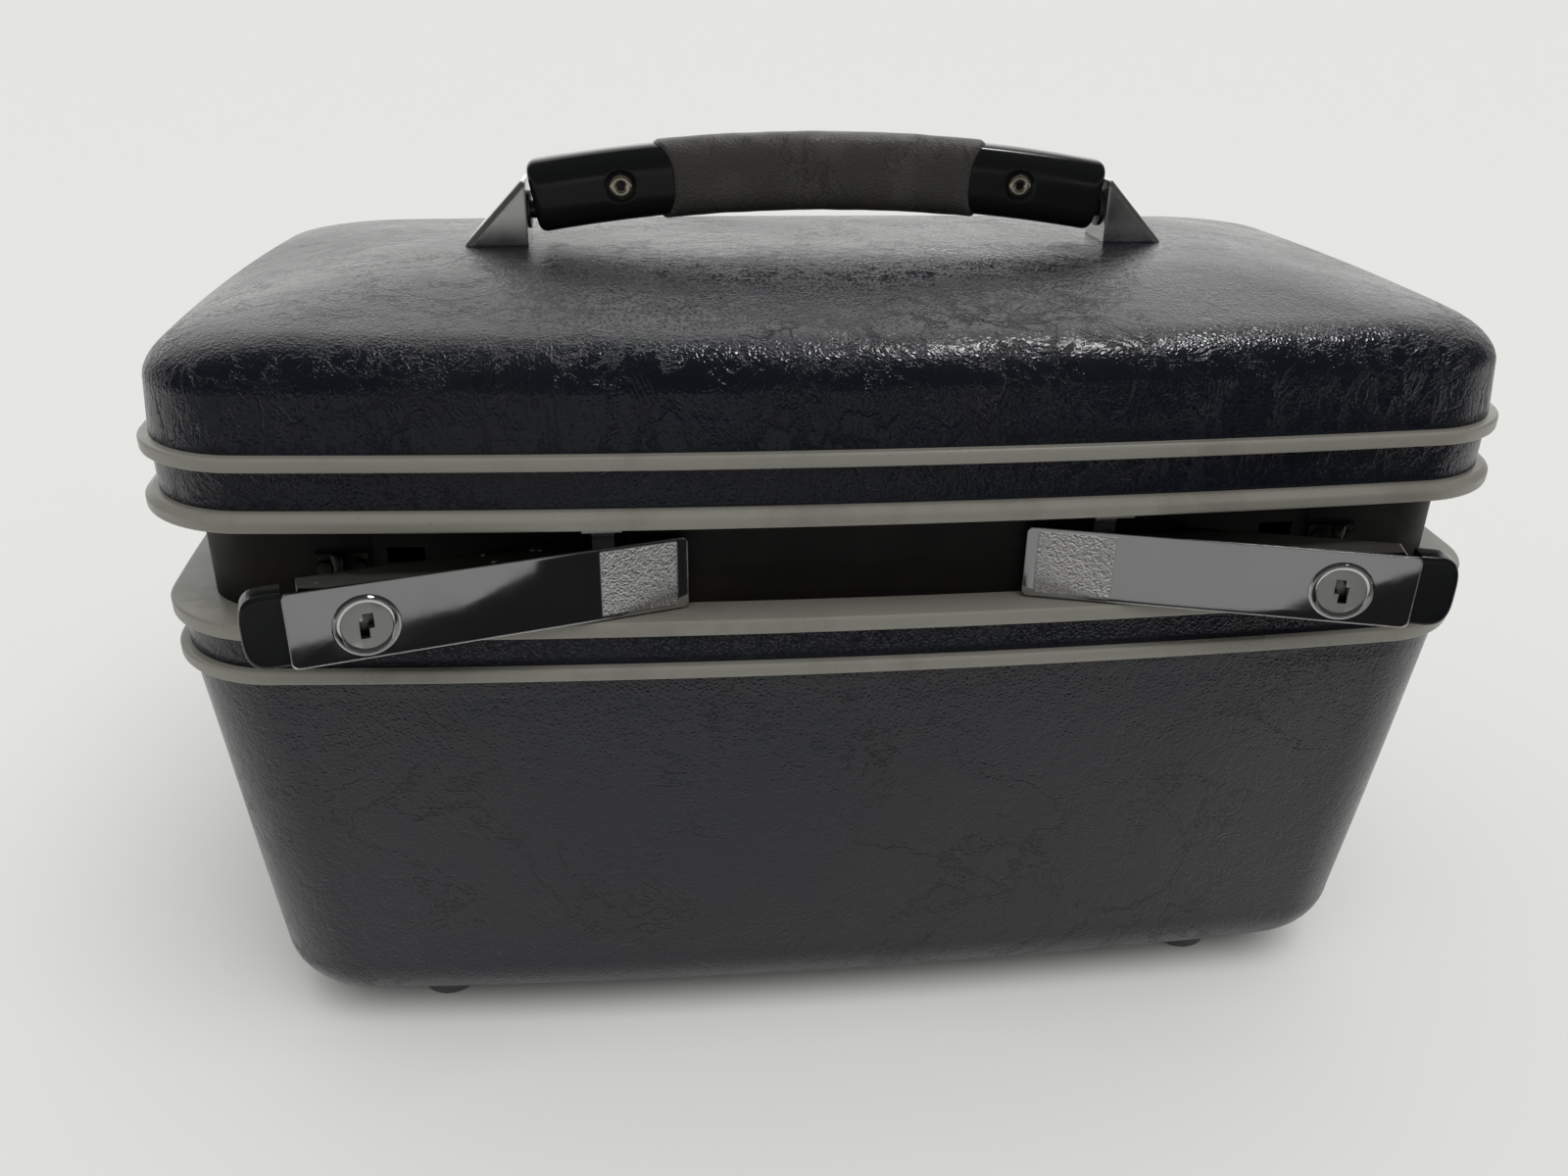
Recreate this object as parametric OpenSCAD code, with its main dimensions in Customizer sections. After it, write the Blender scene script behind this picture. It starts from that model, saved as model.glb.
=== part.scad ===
// Hard-sided train case: tapered body, domed lid, recessed latch channel, two swing latches
// with locks, arched carrying handle on wedge brackets. Millimetres, +Z up, origin on the
// ground under the middle of the whole, which includes the latches that stand out in front.
// The case is drawn closed, with both latches swung open.

/* [Case outline] */
// Width over the trim bands, end to end
case_w = 343; // [300:1:380]
// Depth over the trim bands, front to back, at the middle
case_d = 190.5; // [170:0.5:220]
// Corner radius of the trim bands in plan
corner_r = 26; // [20:1:34]
// How far the front and back bow out at their middle
side_bow = 7.3; // [3:0.1:9]
// How far the two ends bow out at their middle
end_bow = 4.3; // [2:0.1:6]

/* [Shells] */
// Wall of the moulded body and lid shells
shell_t = 2; // [1.5:0.1:2.6]
// How far the shell surface lies behind the face of the trim bands
trim_proud = 2.5; // [1.8:0.1:3.2]
// Thickness of the fabric lining with its card backing
lining_t = 1.2; // [0.8:0.1:1.8]

/* [Body] */
// Height of the body shell from its underside to the lower band
body_h = 116.8; // [95:0.5:135]
// Inward lean of the ends, in mm per mm of height
end_draft = 0.067; // [0.03:0.001:0.09]
// Inward lean of the front and back, in mm per mm of height
side_draft = 0.112; // [0.06:0.001:0.13]
// Radius between the sides and the bottom
bottom_r = 19.4; // [14:0.1:23]
// Corner radius in plan just above the bottom radius
foot_corner_r = 22; // [18:0.5:26]

/* [Trim and channel] */
// Height of the lower trim band
lower_band_h = 3.4; // [2.6:0.1:4.4]
// Height of the shell strip between lower band and body rim
body_strip_h = 8.2; // [6:0.1:11]
// Height of the body rim
body_rim_h = 4.1; // [3.2:0.1:5]
// Height of the recessed latch channel between body rim and lid rim
channel_h = 23.8; // [23:0.1:27]
// How far the channel wall lies behind the trim face
channel_depth = 10.5; // [10:0.1:12]
// Wall of the channel frame
frame_t = 2; // [1.6:0.1:2.6]
// Height of the lip that the frame sends up inside the lid
lip_h = 3; // [2:0.1:4]
// How far the frame skirt reaches down inside the body below its rim
skirt_h = 14.5; // [12:0.5:20]

/* [Lid] */
// Height of the lid rim
lid_rim_h = 4.5; // [3.8:0.1:5.4]
// How far the lid rim stands out beyond the other bands
lid_rim_proud = 0.8; // [0.4:0.1:1.4]
// Height of the shell strip between lid rim and upper band
lid_strip_h = 9.8; // [7:0.1:13]
// Height of the upper trim band
upper_band_h = 3.5; // [2.6:0.1:4.4]
// Height of the upright lid wall above the upper band
lid_wall_h = 12.2; // [8:0.1:16]
// Inward lean of the lid wall, in mm per mm of height
lid_draft = 0.074; // [0.03:0.001:0.1]
// Height of the rounded shoulder of the lid
shoulder_h = 12.6; // [9:0.1:15]
// Run of the rounded shoulder toward the middle
shoulder_run = 20; // [15:0.5:24]
// Rise of the crown above the shoulder
crown_h = 5.5; // [3:0.1:7]
// Run of the crown before the flat middle
crown_run = 50; // [40:1:54]
// Gap between the closed lid and the channel frame
lid_gap = 0.3; // [0.2:0.05:0.5]

/* [Feet] */
// Height of the glides under the body
foot_h = 7; // [5:0.5:10]
// Radius of a glide
foot_r = 8.4; // [6:0.1:10]
// Distance of a glide's centre from the end of the flat floor
foot_in_x = 28; // [20:0.5:40]
// Distance of a glide's centre from the front or back of the flat floor
foot_in_y = 7; // [6.8:0.1:12]

/* [Handle] */
// Distance from the middle to the inner face of a wedge bracket
bracket_x = 80.5; // [76:0.5:86]
// Length of a wedge bracket along the handle
bracket_l = 17; // [14:0.5:18]
// Height of a wedge bracket
bracket_h = 17; // [14:0.5:20]
// Depth of a wedge bracket, front to back
bracket_d = 16; // [12:0.5:20]
// Height of the handle pivot above the lid
pivot_h = 8.7; // [8.4:0.1:10]
// Radius of the handle pivot pins
pivot_r = 2.4; // [1.8:0.1:3]
// Height of the grip section
grip_h = 20.4; // [17:0.1:23]
// Depth of the grip section, front to back
grip_d = 15.8; // [13:0.1:16]
// Half length of the grip sleeve at the tips of its tongues
grip_half = 45; // [38:0.5:48]
// Radius in plan of the tongue at each end of the sleeve
tongue_r = 9.2; // [8.6:0.1:14]
// Height of the grip's centre line above the lid, at the middle
grip_rise = 18.8; // [18:0.1:24]
// Radius of the handle's arch
arch_r = 470; // [400:5:700]
// How far the end pieces lie under the face of the sleeve
end_step = 0.7; // [0.3:0.1:1.2]
// Gap between a handle end and its bracket
end_gap = 1.6; // [1.3:0.1:2.5]
// Distance of the tubular rivets from the middle
eyelet_x = 55; // [52:0.5:62]
// Outer radius of a tubular rivet's head
eyelet_r = 3.1; // [2.6:0.1:3.6]

/* [Latch levers] */
// Length of a latch cover
cover_l = 91; // [84:0.5:96]
// Height of a latch cover
cover_h = 18.4; // [18:0.1:19]
// Depth of a latch lever behind its face
lever_depth = 8.2; // [8:0.1:9]
// Depth of a latch lever at its inner end
lever_tip_depth = 2.2; // [1.6:0.1:3]
// Sheet thickness of the cover
cover_t = 0.8; // [0.6:0.1:0.9]
// Wall of the lever frame inside the cover
lever_t = 1.1; // [0.9:0.1:1.2]
// Distance of a latch pivot from the end of the case
latch_in = 104.6; // [102:0.1:106]
// Distance of the pivot from the lever's inner end
pivot_run = 25; // [23:0.5:27]
// Distance of the pivot behind the lever's face
pivot_depth = 5.6; // [5.2:0.1:6]
// Angle at which the open lever stands out from the case
open_angle = 16.2; // [12:0.1:18]
// Angle at which the closed lever follows the bowed front
closed_angle = 2.4; // [1.5:0.1:3]
// Gap between the lever and the body rim below it
lever_gap = 0.6; // [0.4:0.1:1]
// Length of the hammered panel on the cover
panel_l = 18.2; // [14:0.1:22]

/* [Locks and buttons] */
// Distance of the lock from the cover's outer end
lock_in = 16.6; // [15:0.1:19]
// Radius of the lock plug
plug_r = 5.6; // [5:0.1:5.8]
// Outer radius of the ring round the lock plug
ring_r = 7.5; // [7:0.1:8]
// Distance from a latch pivot to the post of its catch
catch_run = 55.8; // [54:0.1:57]
// Length of the release button beyond the cover
button_l = 9.2; // [7:0.1:11]
// Travel of the release button
button_travel = 3; // [2:0.1:3.2]

/* [Hinges and stay] */
// Distance of a hinge's middle from the end of the case
hinge_in = 76.5; // [60:0.5:90]
// Width of a hinge
hinge_w = 33; // [27:0.5:40]
// Radius of a hinge knuckle
knuckle_r = 2.6; // [2.3:0.1:3]
// Radius of a hinge pin
hinge_pin_r = 1.3; // [1:0.05:1.5]
// Distance of the hinge axis inside the back of the trim
hinge_back = 2.25; // [1.6:0.05:3.2]
// Distance of both stay pivots from the hinge axis
stay_r = 80; // [79:0.5:82]
// Angle of each stay pivot above and below the hinge axis
stay_angle = 16; // [15.5:0.1:16.5]
// Opening angle of the lid
lid_open = 100; // [90:1:102]

/* [Mirror] */
// Length of the mirror in the lid
mirror_l = 200; // [160:1:230]
// Depth of the mirror in the lid
mirror_d = 100; // [80:1:110]

/* [Hidden] */

// Heights of the seams, from the ground up
z_floor = foot_h;
z_band = z_floor + body_h;
z_strip = z_band + lower_band_h;
z_rim = z_strip + body_strip_h;
z_ledge = z_rim + body_rim_h;
z_lid = z_ledge + channel_h;
z_lid_strip = z_lid + lid_rim_h;
z_upper = z_lid_strip + lid_strip_h;
z_upper_top = z_upper + upper_band_h;
z_shoulder = z_upper_top + lid_wall_h;
z_crown = z_shoulder + shoulder_h;
z_top = z_crown + crown_h;

// Plan mesh: steps in a corner, along the front and along an end
corner_steps = 7;
side_steps = 8;
end_steps = 4;
fillet_steps = 6;
crown_steps = 3;
sx = [1, -1, -1, 1];
sy = [1, 1, -1, -1];

// Clearances
run_fit = 0.06;
seat_fit = 0.02;
fn = 48;
tiny = 0.01;

plate_t = 1.2;
chamfer = 0.7;
bead_edge = 0.6;

// Middles of the latches, hinges and glides
latch_x = case_w / 2 - latch_in;
hinge_x = case_w / 2 - hinge_in;
hinge_y = case_d / 2 - hinge_back;

// ---------------------------------------------------------------- plan outline and lofts

// Rounded rectangle whose four sides bow outwards, as points that run anticlockwise
function bow_point(p, hw, hd, bf, be) = [
  p[0] - sign(p[0]) * be * pow(p[1] / hd, 2) * min(1, abs(p[0]) / hw),
  p[1] - sign(p[1]) * bf * pow(p[0] / hw, 2) * min(1, abs(p[1]) / hd)
];
function outline(w, d, r) =
  let (
    hw = w / 2,
    hd = d / 2,
    bf = side_bow * d / case_d,
    be = end_bow * w / case_w,
    centre = [for (q = [0:3]) [sx[q] * (hw - r), sy[q] * (hd - r)]],
    raw = [for (q = [0:3])
      let (
        n = q % 2 == 0 ? side_steps : end_steps,
        a1 = 90 * q + 90,
        p = centre[q] + r * [cos(a1), sin(a1)],
        s = centre[(q + 1) % 4] + r * [cos(a1), sin(a1)]
      )
      each concat(
        [for (i = [0:corner_steps])
          let (a = 90 * q + 90 * i / corner_steps) centre[q] + r * [cos(a), sin(a)]],
        [for (i = [1:n - 1]) p + (s - p) * i / n]
      )]
  )
  [for (p = raw) bow_point(p, hw, hd, bf, be)];

// One level of a loft: insets from the trim outline, height, corner radius
function level(ix, iy, z, r) =
  [for (p = outline(case_w - 2 * ix, case_d - 2 * iy, r)) [p[0], p[1], z]];
function even(o, z) = level(o, o, z, corner_r - o);

// Two triangles for each quad between level a and level b, which start at those point numbers
function quads(a, b, n, up) = [for (j = [0:n - 1])
  let (k = (j + 1) % n)
  each up
    ? [[a + j, b + j, b + k], [a + j, b + k, a + k]]
    : [[a + j, b + k, b + j], [a + j, a + k, b + k]]];
function skin(first, m, n, up) = [for (i = [0:m - 2])
  each quads(first + i * n, first + (i + 1) * n, n, up)];
function cap(first, n, up) = up
  ? [for (j = [n - 1:-1:0]) first + j]
  : [for (j = [0:n - 1]) first + j];

// Closed ring whose section is given as insets and heights
module band(profile) {
  levels = [for (p = profile) even(p[0], p[1])];
  n = len(levels[0]);
  m = len(levels);
  polyhedron(
    points = [for (l = levels) each l],
    faces = concat(skin(0, m, n, true), quads((m - 1) * n, 0, n, true)),
    convexity = 8
  );
}

// Cup between two skins, whose levels both run from the open rim to the closed end.
// Neighbouring cups share their levels, so that their faces meet exactly.
module cup(outer, inner) {
  n = len(outer[0]);
  m = len(outer);
  w = len(inner);
  up = outer[m - 1][0][2] > outer[0][0][2];
  rim = up ? quads(m * n, 0, n, true) : quads(0, m * n, n, true);
  polyhedron(
    points = concat([for (l = outer) each l], [for (l = inner) each l]),
    faces = concat(
      skin(0, m, n, up),
      skin(m * n, w, n, !up),
      rim,
      [cap((m - 1) * n, n, up)],
      [cap((m + w - 1) * n, n, !up)]
    ),
    convexity = 8
  );
}

// ---------------------------------------------------------------- body

fillet_z = z_floor + bottom_r;
// Share of the bottom radius by which the corners tighten toward the floor
corner_ease = 0.6;
function body_inset(draft, z) = trim_proud + draft * (z_band - z);
// Side of the body at depth t below the outer skin, from the top edge down to the floor
function body_levels(t, top) = concat(
  [
    even(trim_proud + t, top),
    even(trim_proud + t, z_band)
  ],
  [for (i = [0:fillet_steps])
    let (
      a = 90 * i / fillet_steps,
      run = (bottom_r - t) * (1 - cos(a)),
      ix = body_inset(end_draft, fillet_z) + t + run,
      iy = body_inset(side_draft, fillet_z) + t + run
    )
    level(ix, iy, fillet_z - (bottom_r - t) * sin(a), foot_corner_r - t - corner_ease * run)]
);

module body_shell() color("#1d212b") difference() {
  cup(body_levels(0, z_rim), body_levels(shell_t, z_rim));
  foot_holes();
}
module body_lining() color("#8d97a6") difference() {
  cup(body_levels(shell_t, z_rim), body_levels(shell_t + lining_t, z_rim));
  foot_holes();
}
module body_lower_band() color("#77786f") band([
  [trim_proud, z_band],
  [bead_edge / 2, z_band],
  [0, z_band + bead_edge],
  [0, z_strip - chamfer],
  [bead_edge, z_strip],
  [trim_proud, z_strip]
]);
module body_rim() color("#77786f") band([
  [channel_depth, z_rim],
  [bead_edge / 2, z_rim],
  [0, z_rim + bead_edge],
  [0, z_ledge - chamfer],
  [chamfer, z_ledge],
  [channel_depth, z_ledge]
]);

// ---------------------------------------------------------------- channel frame

frame_top = z_lid - lid_gap;
frame_foot = z_ledge - skirt_h;
lip_t = frame_t / 2;
frame_in = channel_depth + frame_t;
// Face of the channel wall at a distance x from the middle
function wall_y(x) = case_d / 2 - channel_depth - side_bow * pow(x / (case_w / 2), 2);

// Flat seats for hardware, which stand out a little from the bowed wall
pad_lift = 0.2;
latch_pad = [latch_x + 2.5, latch_x + 16.5];
latch_pad_y = wall_y(latch_pad[0]) + pad_lift;
catch_x = latch_x + catch_run;
catch_pad_half = 6.5;
catch_pad = [catch_x - catch_pad_half, catch_x + catch_pad_half];
catch_pad_y = wall_y(catch_pad[0]) + pad_lift;
hinge_pad = [hinge_x - hinge_w / 2, hinge_x + hinge_w / 2];
hinge_pad_y = wall_y(hinge_pad[0]) + pad_lift;
stay_boss_t = 3.4;
stay_half = 6;
stay_x = case_w / 2 - frame_in - stay_boss_t;
hinge_z = z_ledge + channel_h / 2;
stay_y = hinge_y - stay_r * cos(stay_angle);
stay_stud_z = hinge_z - stay_r * sin(stay_angle);
stay_pivot_z = hinge_z + stay_r * sin(stay_angle);
stay_stud_r = 2;

// Flat seat on the channel wall: from, to and face are distances from the case's middle
module seat(from, to, face, low, high)
  translate([from, face - frame_t, low]) cube([to - from, frame_t, high - low]);
module front_seats() for (s = [1, -1]) scale_x(s) mirror([0, 1, 0]) {
  seat(latch_pad[0], latch_pad[1], latch_pad_y, z_ledge, frame_top);
  seat(catch_pad[0], catch_pad[1], catch_pad_y, z_ledge, frame_top);
}
module scale_x(s) mirror([s < 0 ? 1 : 0, 0, 0]) children();

// Slots in the channel wall beside the catches
slot_run = 36.5;
slot_w = 9;
slot_h = 4;
slot_z = z_ledge + 11.8;
module channel_frame() color("#17181a") difference() {
  union() {
    band([
      [channel_depth, frame_foot],
      [channel_depth, frame_top],
      [channel_depth + lip_t, frame_top],
      [channel_depth + lip_t, frame_top + lip_h],
      [frame_in, frame_top + lip_h],
      [frame_in, frame_foot]
    ]);
    front_seats();
    for (s = [1, -1]) scale_x(s)
      seat(hinge_pad[0], hinge_pad[1], hinge_pad_y, z_ledge, frame_top);
    translate([-stay_x - stay_boss_t - frame_t / 2, stay_y - stay_half, frame_foot])
      cube([stay_boss_t + frame_t / 2, 2 * stay_half, skirt_h - 0.5]);
  }
  for (s = [1, -1]) scale_x(s) {
    translate([latch_x + slot_run, -case_d / 2, slot_z])
      cube([slot_w, 2 * channel_depth, slot_h]);
    latch_base_rivets(hole = true);
    catch_rivet_set(hole = true);
    hinge_body_rivet_set(hole = true);
  }
  translate([-stay_x - frame_t, stay_y, stay_stud_z]) rotate([0, 90, 0])
    cylinder(r = stay_stud_r + seat_fit, h = 2 * frame_t, $fn = fn);
}

// ---------------------------------------------------------------- rivets

rivet_r = 1.2;
rivet_l = 3;
rivet_head_r = 2;
rivet_head_h = 0.7;
rivet_fn = 24;
// Rivet along +Z with its head on the plane z = 0 and its shank below
module rivet(hole = false, shank = rivet_l) {
  r = hole ? rivet_r + seat_fit : rivet_r;
  translate([0, 0, -shank]) cylinder(r = r, h = shank + (hole ? 1 : tiny), $fn = rivet_fn);
  if (!hole) cylinder(r1 = rivet_head_r, r2 = 0.8 * rivet_head_r, h = rivet_head_h, $fn = rivet_fn);
}
// Low button head for the pins and studs that run in a bore of radius r
module button_head(r, h) cylinder(r1 = r + 1.4, r2 = r + 0.8, h = h, $fn = fn);

// ---------------------------------------------------------------- feet

foot_x = case_w / 2 - body_inset(end_draft, fillet_z) - bottom_r - foot_in_x;
foot_y = case_d / 2 - body_inset(side_draft, fillet_z) - bottom_r - foot_in_y;
foot_spots = [for (x = [-1, 1], y = [-1, 1]) [x * foot_x, y * foot_y]];
foot_round = 2.6;
foot_recess = 2;
foot_recess_r = 3.8;
foot_rivet_r = 2;
foot_rivet_top = z_floor + shell_t + lining_t;
module foot_holes() for (p = foot_spots)
  translate([p[0], p[1], z_floor - 1])
    cylinder(r = foot_rivet_r + seat_fit, h = shell_t + lining_t + 2, $fn = fn);
module feet() color("#26282c") for (p = foot_spots) translate([p[0], p[1], 0]) difference() {
  rotate_extrude($fn = fn) polygon(concat(
    [[0, 0], [foot_r - foot_round, 0]],
    [for (a = [-60:30:0]) [foot_r - foot_round * (1 - cos(a)), foot_round * (1 + sin(a))]],
    [[foot_r, foot_h], [0, foot_h]]
  ));
  translate([0, 0, -1]) cylinder(r = foot_rivet_r + seat_fit, h = foot_h + 2, $fn = fn);
  translate([0, 0, -1]) cylinder(r = foot_recess_r, h = foot_recess + 1, $fn = fn);
}
module foot_rivets() color("#a8a69c") for (p = foot_spots) translate([p[0], p[1], 0]) {
  translate([0, 0, foot_recess]) mirror([0, 0, 1]) button_head(foot_rivet_r, foot_recess / 2);
  translate([0, 0, foot_recess - tiny])
    cylinder(r = foot_rivet_r, h = foot_rivet_top - foot_recess + 2 * tiny, $fn = fn);
  translate([0, 0, foot_rivet_top]) button_head(foot_rivet_r, rivet_head_h);
}

// ---------------------------------------------------------------- hinges

knuckle_gap = 0.3;
third = hinge_w / 3;
web_z = hinge_z - knuckle_r;
leaf_rivet_x = [hinge_x - 0.3 * hinge_w, hinge_x + 0.3 * hinge_w];
leaf_rivet_rise = 4.5;
lid_foot_l = 6.5;
lid_foot_y = hinge_y - lid_foot_l;
lid_web_y = hinge_y - plate_t / 2;
lid_web_z = hinge_z + knuckle_r + 1;
pin_head_t = 0.8;
pin_head_lip = 0.7;

module along_x(x0, x1, y, z, r)
  translate([x0, y, z]) rotate([0, 90, 0]) cylinder(r = r, h = x1 - x0, $fn = fn);

module hinge_body_rivet_set(hole = false) for (x = leaf_rivet_x)
  translate([x, hinge_pad_y + plate_t, z_ledge + leaf_rivet_rise]) rotate([-90, 0, 0]) rivet(hole);
module hinge_rivets_body() color("#b9bbbd") for (s = [1, -1]) scale_x(s) hinge_body_rivet_set();

module hinge_leaf_body() difference() {
  union() {
    translate([hinge_x - hinge_w / 2, hinge_pad_y, z_ledge])
      cube([hinge_w, plate_t, web_z - z_ledge + plate_t]);
    for (x = [hinge_x - hinge_w / 2, hinge_x + third / 2 + knuckle_gap]) {
      translate([x, hinge_pad_y, web_z])
        cube([third - knuckle_gap, hinge_y - hinge_pad_y, plate_t]);
      along_x(x, x + third - knuckle_gap, hinge_y, hinge_z, knuckle_r);
    }
  }
  along_x(hinge_x - hinge_w, hinge_x + hinge_w, hinge_y, hinge_z, hinge_pin_r + seat_fit);
  hinge_body_rivet_set(hole = true);
}
module hinge_leaf_body_left() color("#b9bbbd") scale_x(-1) hinge_leaf_body();
module hinge_leaf_body_right() color("#b9bbbd") hinge_leaf_body();

module hinge_lid_rivet_set(hole = false) for (x = leaf_rivet_x)
  translate([x, lid_foot_y + 0.46 * lid_foot_l, z_lid - plate_t]) rotate([180, 0, 0])
    rivet(hole, shank = plate_t + 0.7 * flange_t);
module hinge_rivets_lid() color("#b9bbbd") for (s = [1, -1]) scale_x(s) hinge_lid_rivet_set();

module hinge_leaf_lid() difference() {
  union() {
    translate([hinge_x - hinge_w / 2, lid_foot_y, z_lid - plate_t])
      cube([hinge_w, lid_foot_l + plate_t / 2, plate_t]);
    translate([hinge_x - hinge_w / 2, lid_web_y, lid_web_z])
      cube([hinge_w, plate_t, z_lid - lid_web_z]);
    translate([hinge_x - third / 2, lid_web_y, hinge_z])
      cube([third, plate_t, z_lid - hinge_z - 1]);
    along_x(hinge_x - third / 2, hinge_x + third / 2, hinge_y, hinge_z, knuckle_r);
  }
  along_x(hinge_x - hinge_w, hinge_x + hinge_w, hinge_y, hinge_z, hinge_pin_r + run_fit);
  hinge_lid_rivet_set(hole = true);
}
module hinge_leaf_lid_left() color("#b9bbbd") scale_x(-1) hinge_leaf_lid();
module hinge_leaf_lid_right() color("#b9bbbd") hinge_leaf_lid();

module hinge_pin() {
  ends = [hinge_x - hinge_w / 2 - pin_head_t, hinge_x + hinge_w / 2];
  along_x(ends[0], ends[1] + pin_head_t, hinge_y, hinge_z, hinge_pin_r);
  for (x = ends) along_x(x, x + pin_head_t, hinge_y, hinge_z, hinge_pin_r + pin_head_lip);
}
module hinge_pin_left() color("#cfd1d3") scale_x(-1) hinge_pin();
module hinge_pin_right() color("#cfd1d3") hinge_pin();

// ---------------------------------------------------------------- latch pivots, catches, hasps

// The lever frame: origin on the pivot, X along the lever to its outer end, Y into the case
latch_stand = 5.6;
latch_y = -(wall_y(latch_x) + latch_stand);
module at_lever(s) scale_x(s) translate([latch_x, latch_y, 0]) rotate([0, 0, -open_angle])
  children();

lever_low = z_ledge + lever_gap;
lever_high = lever_low + cover_h;
lever_mid = (lever_low + lever_high) / 2;
web_t = 2;
web_low = lever_mid + 0.8;
web_high = web_low + web_t;
// Ears of the fixed base, above and below the lever's web
ear_t = 1.5;
ear_r = 3;
ear_l = 7.5;
ear_low = web_low - 6;
ear_high = web_high + 2;
latch_pin_r = 1.5;
base_in = [latch_pad[0] + 0.9, latch_pad[1] - 0.3];
base_shy = 2.4;

module latch_base_rivets(hole = false) for (z = [lever_mid - 2.5, lever_mid + 5])
  translate([latch_pad[1] - 4, -latch_pad_y - plate_t, z]) rotate([90, 0, 0]) rivet(hole);

module latch_base() {
  difference() {
    union() {
      translate([base_in[0], -latch_pad_y - plate_t, lever_low + base_shy])
        cube([base_in[1] - base_in[0], plate_t, cover_h - 2 * base_shy]);
      for (z = [ear_low, ear_high]) translate([0, 0, z]) {
        translate([latch_x, latch_y, 0]) cylinder(r = ear_r, h = ear_t, $fn = fn);
        linear_extrude(height = ear_t) polygon([
          [latch_x, latch_y - ear_r],
          [latch_x + ear_l, -latch_pad_y - plate_t],
          [latch_x + ear_l, -latch_pad_y],
          [base_in[0], -latch_pad_y],
          [latch_x + 2.2, latch_y + 2]
        ]);
      }
    }
    translate([latch_x, latch_y, lever_low])
      cylinder(r = latch_pin_r + seat_fit, h = cover_h, $fn = fn);
    latch_base_rivets(hole = true);
  }
  latch_base_rivets();
}
module latch_base_left() color("#8f9194") scale_x(-1) latch_base();
module latch_base_right() color("#8f9194") latch_base();

module latch_pin() translate([latch_x, latch_y, 0]) {
  ends = [ear_low - pin_head_t, ear_high + ear_t];
  translate([0, 0, ends[0]]) cylinder(r = latch_pin_r, h = ends[1] + pin_head_t - ends[0], $fn = fn);
  for (z = ends)
    translate([0, 0, z]) cylinder(r = latch_pin_r + pin_head_lip, h = pin_head_t, $fn = fn);
}
module latch_pin_left() color("#cfd1d3") scale_x(-1) latch_pin();
module latch_pin_right() color("#cfd1d3") latch_pin();

// Catch: a headed post on a shelf that stands out from the channel wall
catch_t = 1;
catch_h = 11;
catch_half = catch_pad_half - 0.3;
post_r = 1.4;
post_y = -(wall_y(catch_x) + 4.6);
post_top = lever_high - 2.6;
post_head_h = 2.4;
post_head_r = post_r + 0.25;
shelf_r = 1.9;
shelf_t = 1.4;
shelf_z = lever_mid - 3.7;
module catch_rivet_set(hole = false) for (x = [catch_x - 4, catch_x + 4])
  translate([x, -catch_pad_y - catch_t, shelf_z + catch_h / 2]) rotate([90, 0, 0]) rivet(hole);
module catch_piece() {
  difference() {
    translate([catch_x - catch_half, -catch_pad_y - catch_t, shelf_z - 2])
      cube([2 * catch_half, catch_t, catch_h]);
    catch_rivet_set(hole = true);
  }
  translate([catch_x - shelf_r, post_y, shelf_z])
    cube([2 * shelf_r, -catch_pad_y - catch_t / 2 - post_y, shelf_t]);
  translate([catch_x, post_y, shelf_z]) {
    cylinder(r = shelf_r, h = shelf_t, $fn = fn);
    cylinder(r = post_r, h = post_top - shelf_z, $fn = fn);
    translate([0, 0, post_top - shelf_z - post_head_h])
      cylinder(r = post_head_r, h = post_head_h, $fn = fn);
  }
}
module catch_left() color("#6f7174") scale_x(-1) catch_piece();
module catch_right() color("#6f7174") catch_piece();
module catch_rivets() color("#b9bbbd") for (s = [1, -1]) scale_x(s) catch_rivet_set();

// Hasp: a strap that hangs from the lid rim, with a notch for the lever's hook
hasp_out = latch_x - 2.96;
hasp_w = 5.3;
hasp_t = 1.3;
hasp_y = latch_y + 3.2;
hasp_low = web_low - 4;
hasp_foot_l = 6.5;
hasp_foot_lip = 2;
notch_w = 1.3;
notch_gap = 0.4;
module hasp() difference() {
  union() {
    translate([hasp_out - hasp_w, hasp_y, hasp_low]) cube([hasp_w, hasp_t, z_lid - hasp_low]);
    translate([hasp_out - hasp_w - hasp_foot_lip, hasp_y - hasp_foot_l, z_lid - plate_t])
      cube([hasp_w + 2 * hasp_foot_lip, hasp_foot_l + hasp_t, plate_t]);
  }
  translate([hasp_out - notch_w, hasp_y - 1, web_low - notch_gap])
    cube([2 * notch_w, hasp_t + 2, web_t + 2 * notch_gap]);
}
module hasp_left() color("#c9cbcd") scale_x(-1) hasp();
module hasp_right() color("#c9cbcd") hasp();

// ---------------------------------------------------------------- lid

// Lid skin at depth t below its outer face, from the lower edge up to the flat crown
// Share of the inset by which the corners tighten toward the crown
crown_ease = 0.35;
corner_least = 4;
shoulder_in = trim_proud + lid_draft * lid_wall_h;
function lid_corner(o) = corner_r - trim_proud - crown_ease * (o - trim_proud);
function lid_levels(t) = concat(
  [
    even(trim_proud + t, flange_top),
    even(trim_proud + t, z_upper_top)
  ],
  [for (i = [0:fillet_steps])
    let (
      a = 90 * i / fillet_steps,
      o = shoulder_in + shoulder_run * (1 - cos(a))
    )
    level(
      shoulder_in + shoulder_run - (shoulder_run - t) * cos(a),
      shoulder_in + shoulder_run - (shoulder_run - t) * cos(a),
      z_shoulder + (shoulder_h - t) * sin(a),
      lid_corner(o) - t * cos(a)
    )],
  [for (i = [1:crown_steps])
    let (
      u = i / crown_steps,
      o = shoulder_in + shoulder_run + crown_run * u
    )
    level(o, o, z_crown - t + crown_h * (1 - pow(1 - u, 2)), max(corner_least, lid_corner(o)))]
);
flange_t = 2;
flange_top = z_lid + flange_t;

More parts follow.
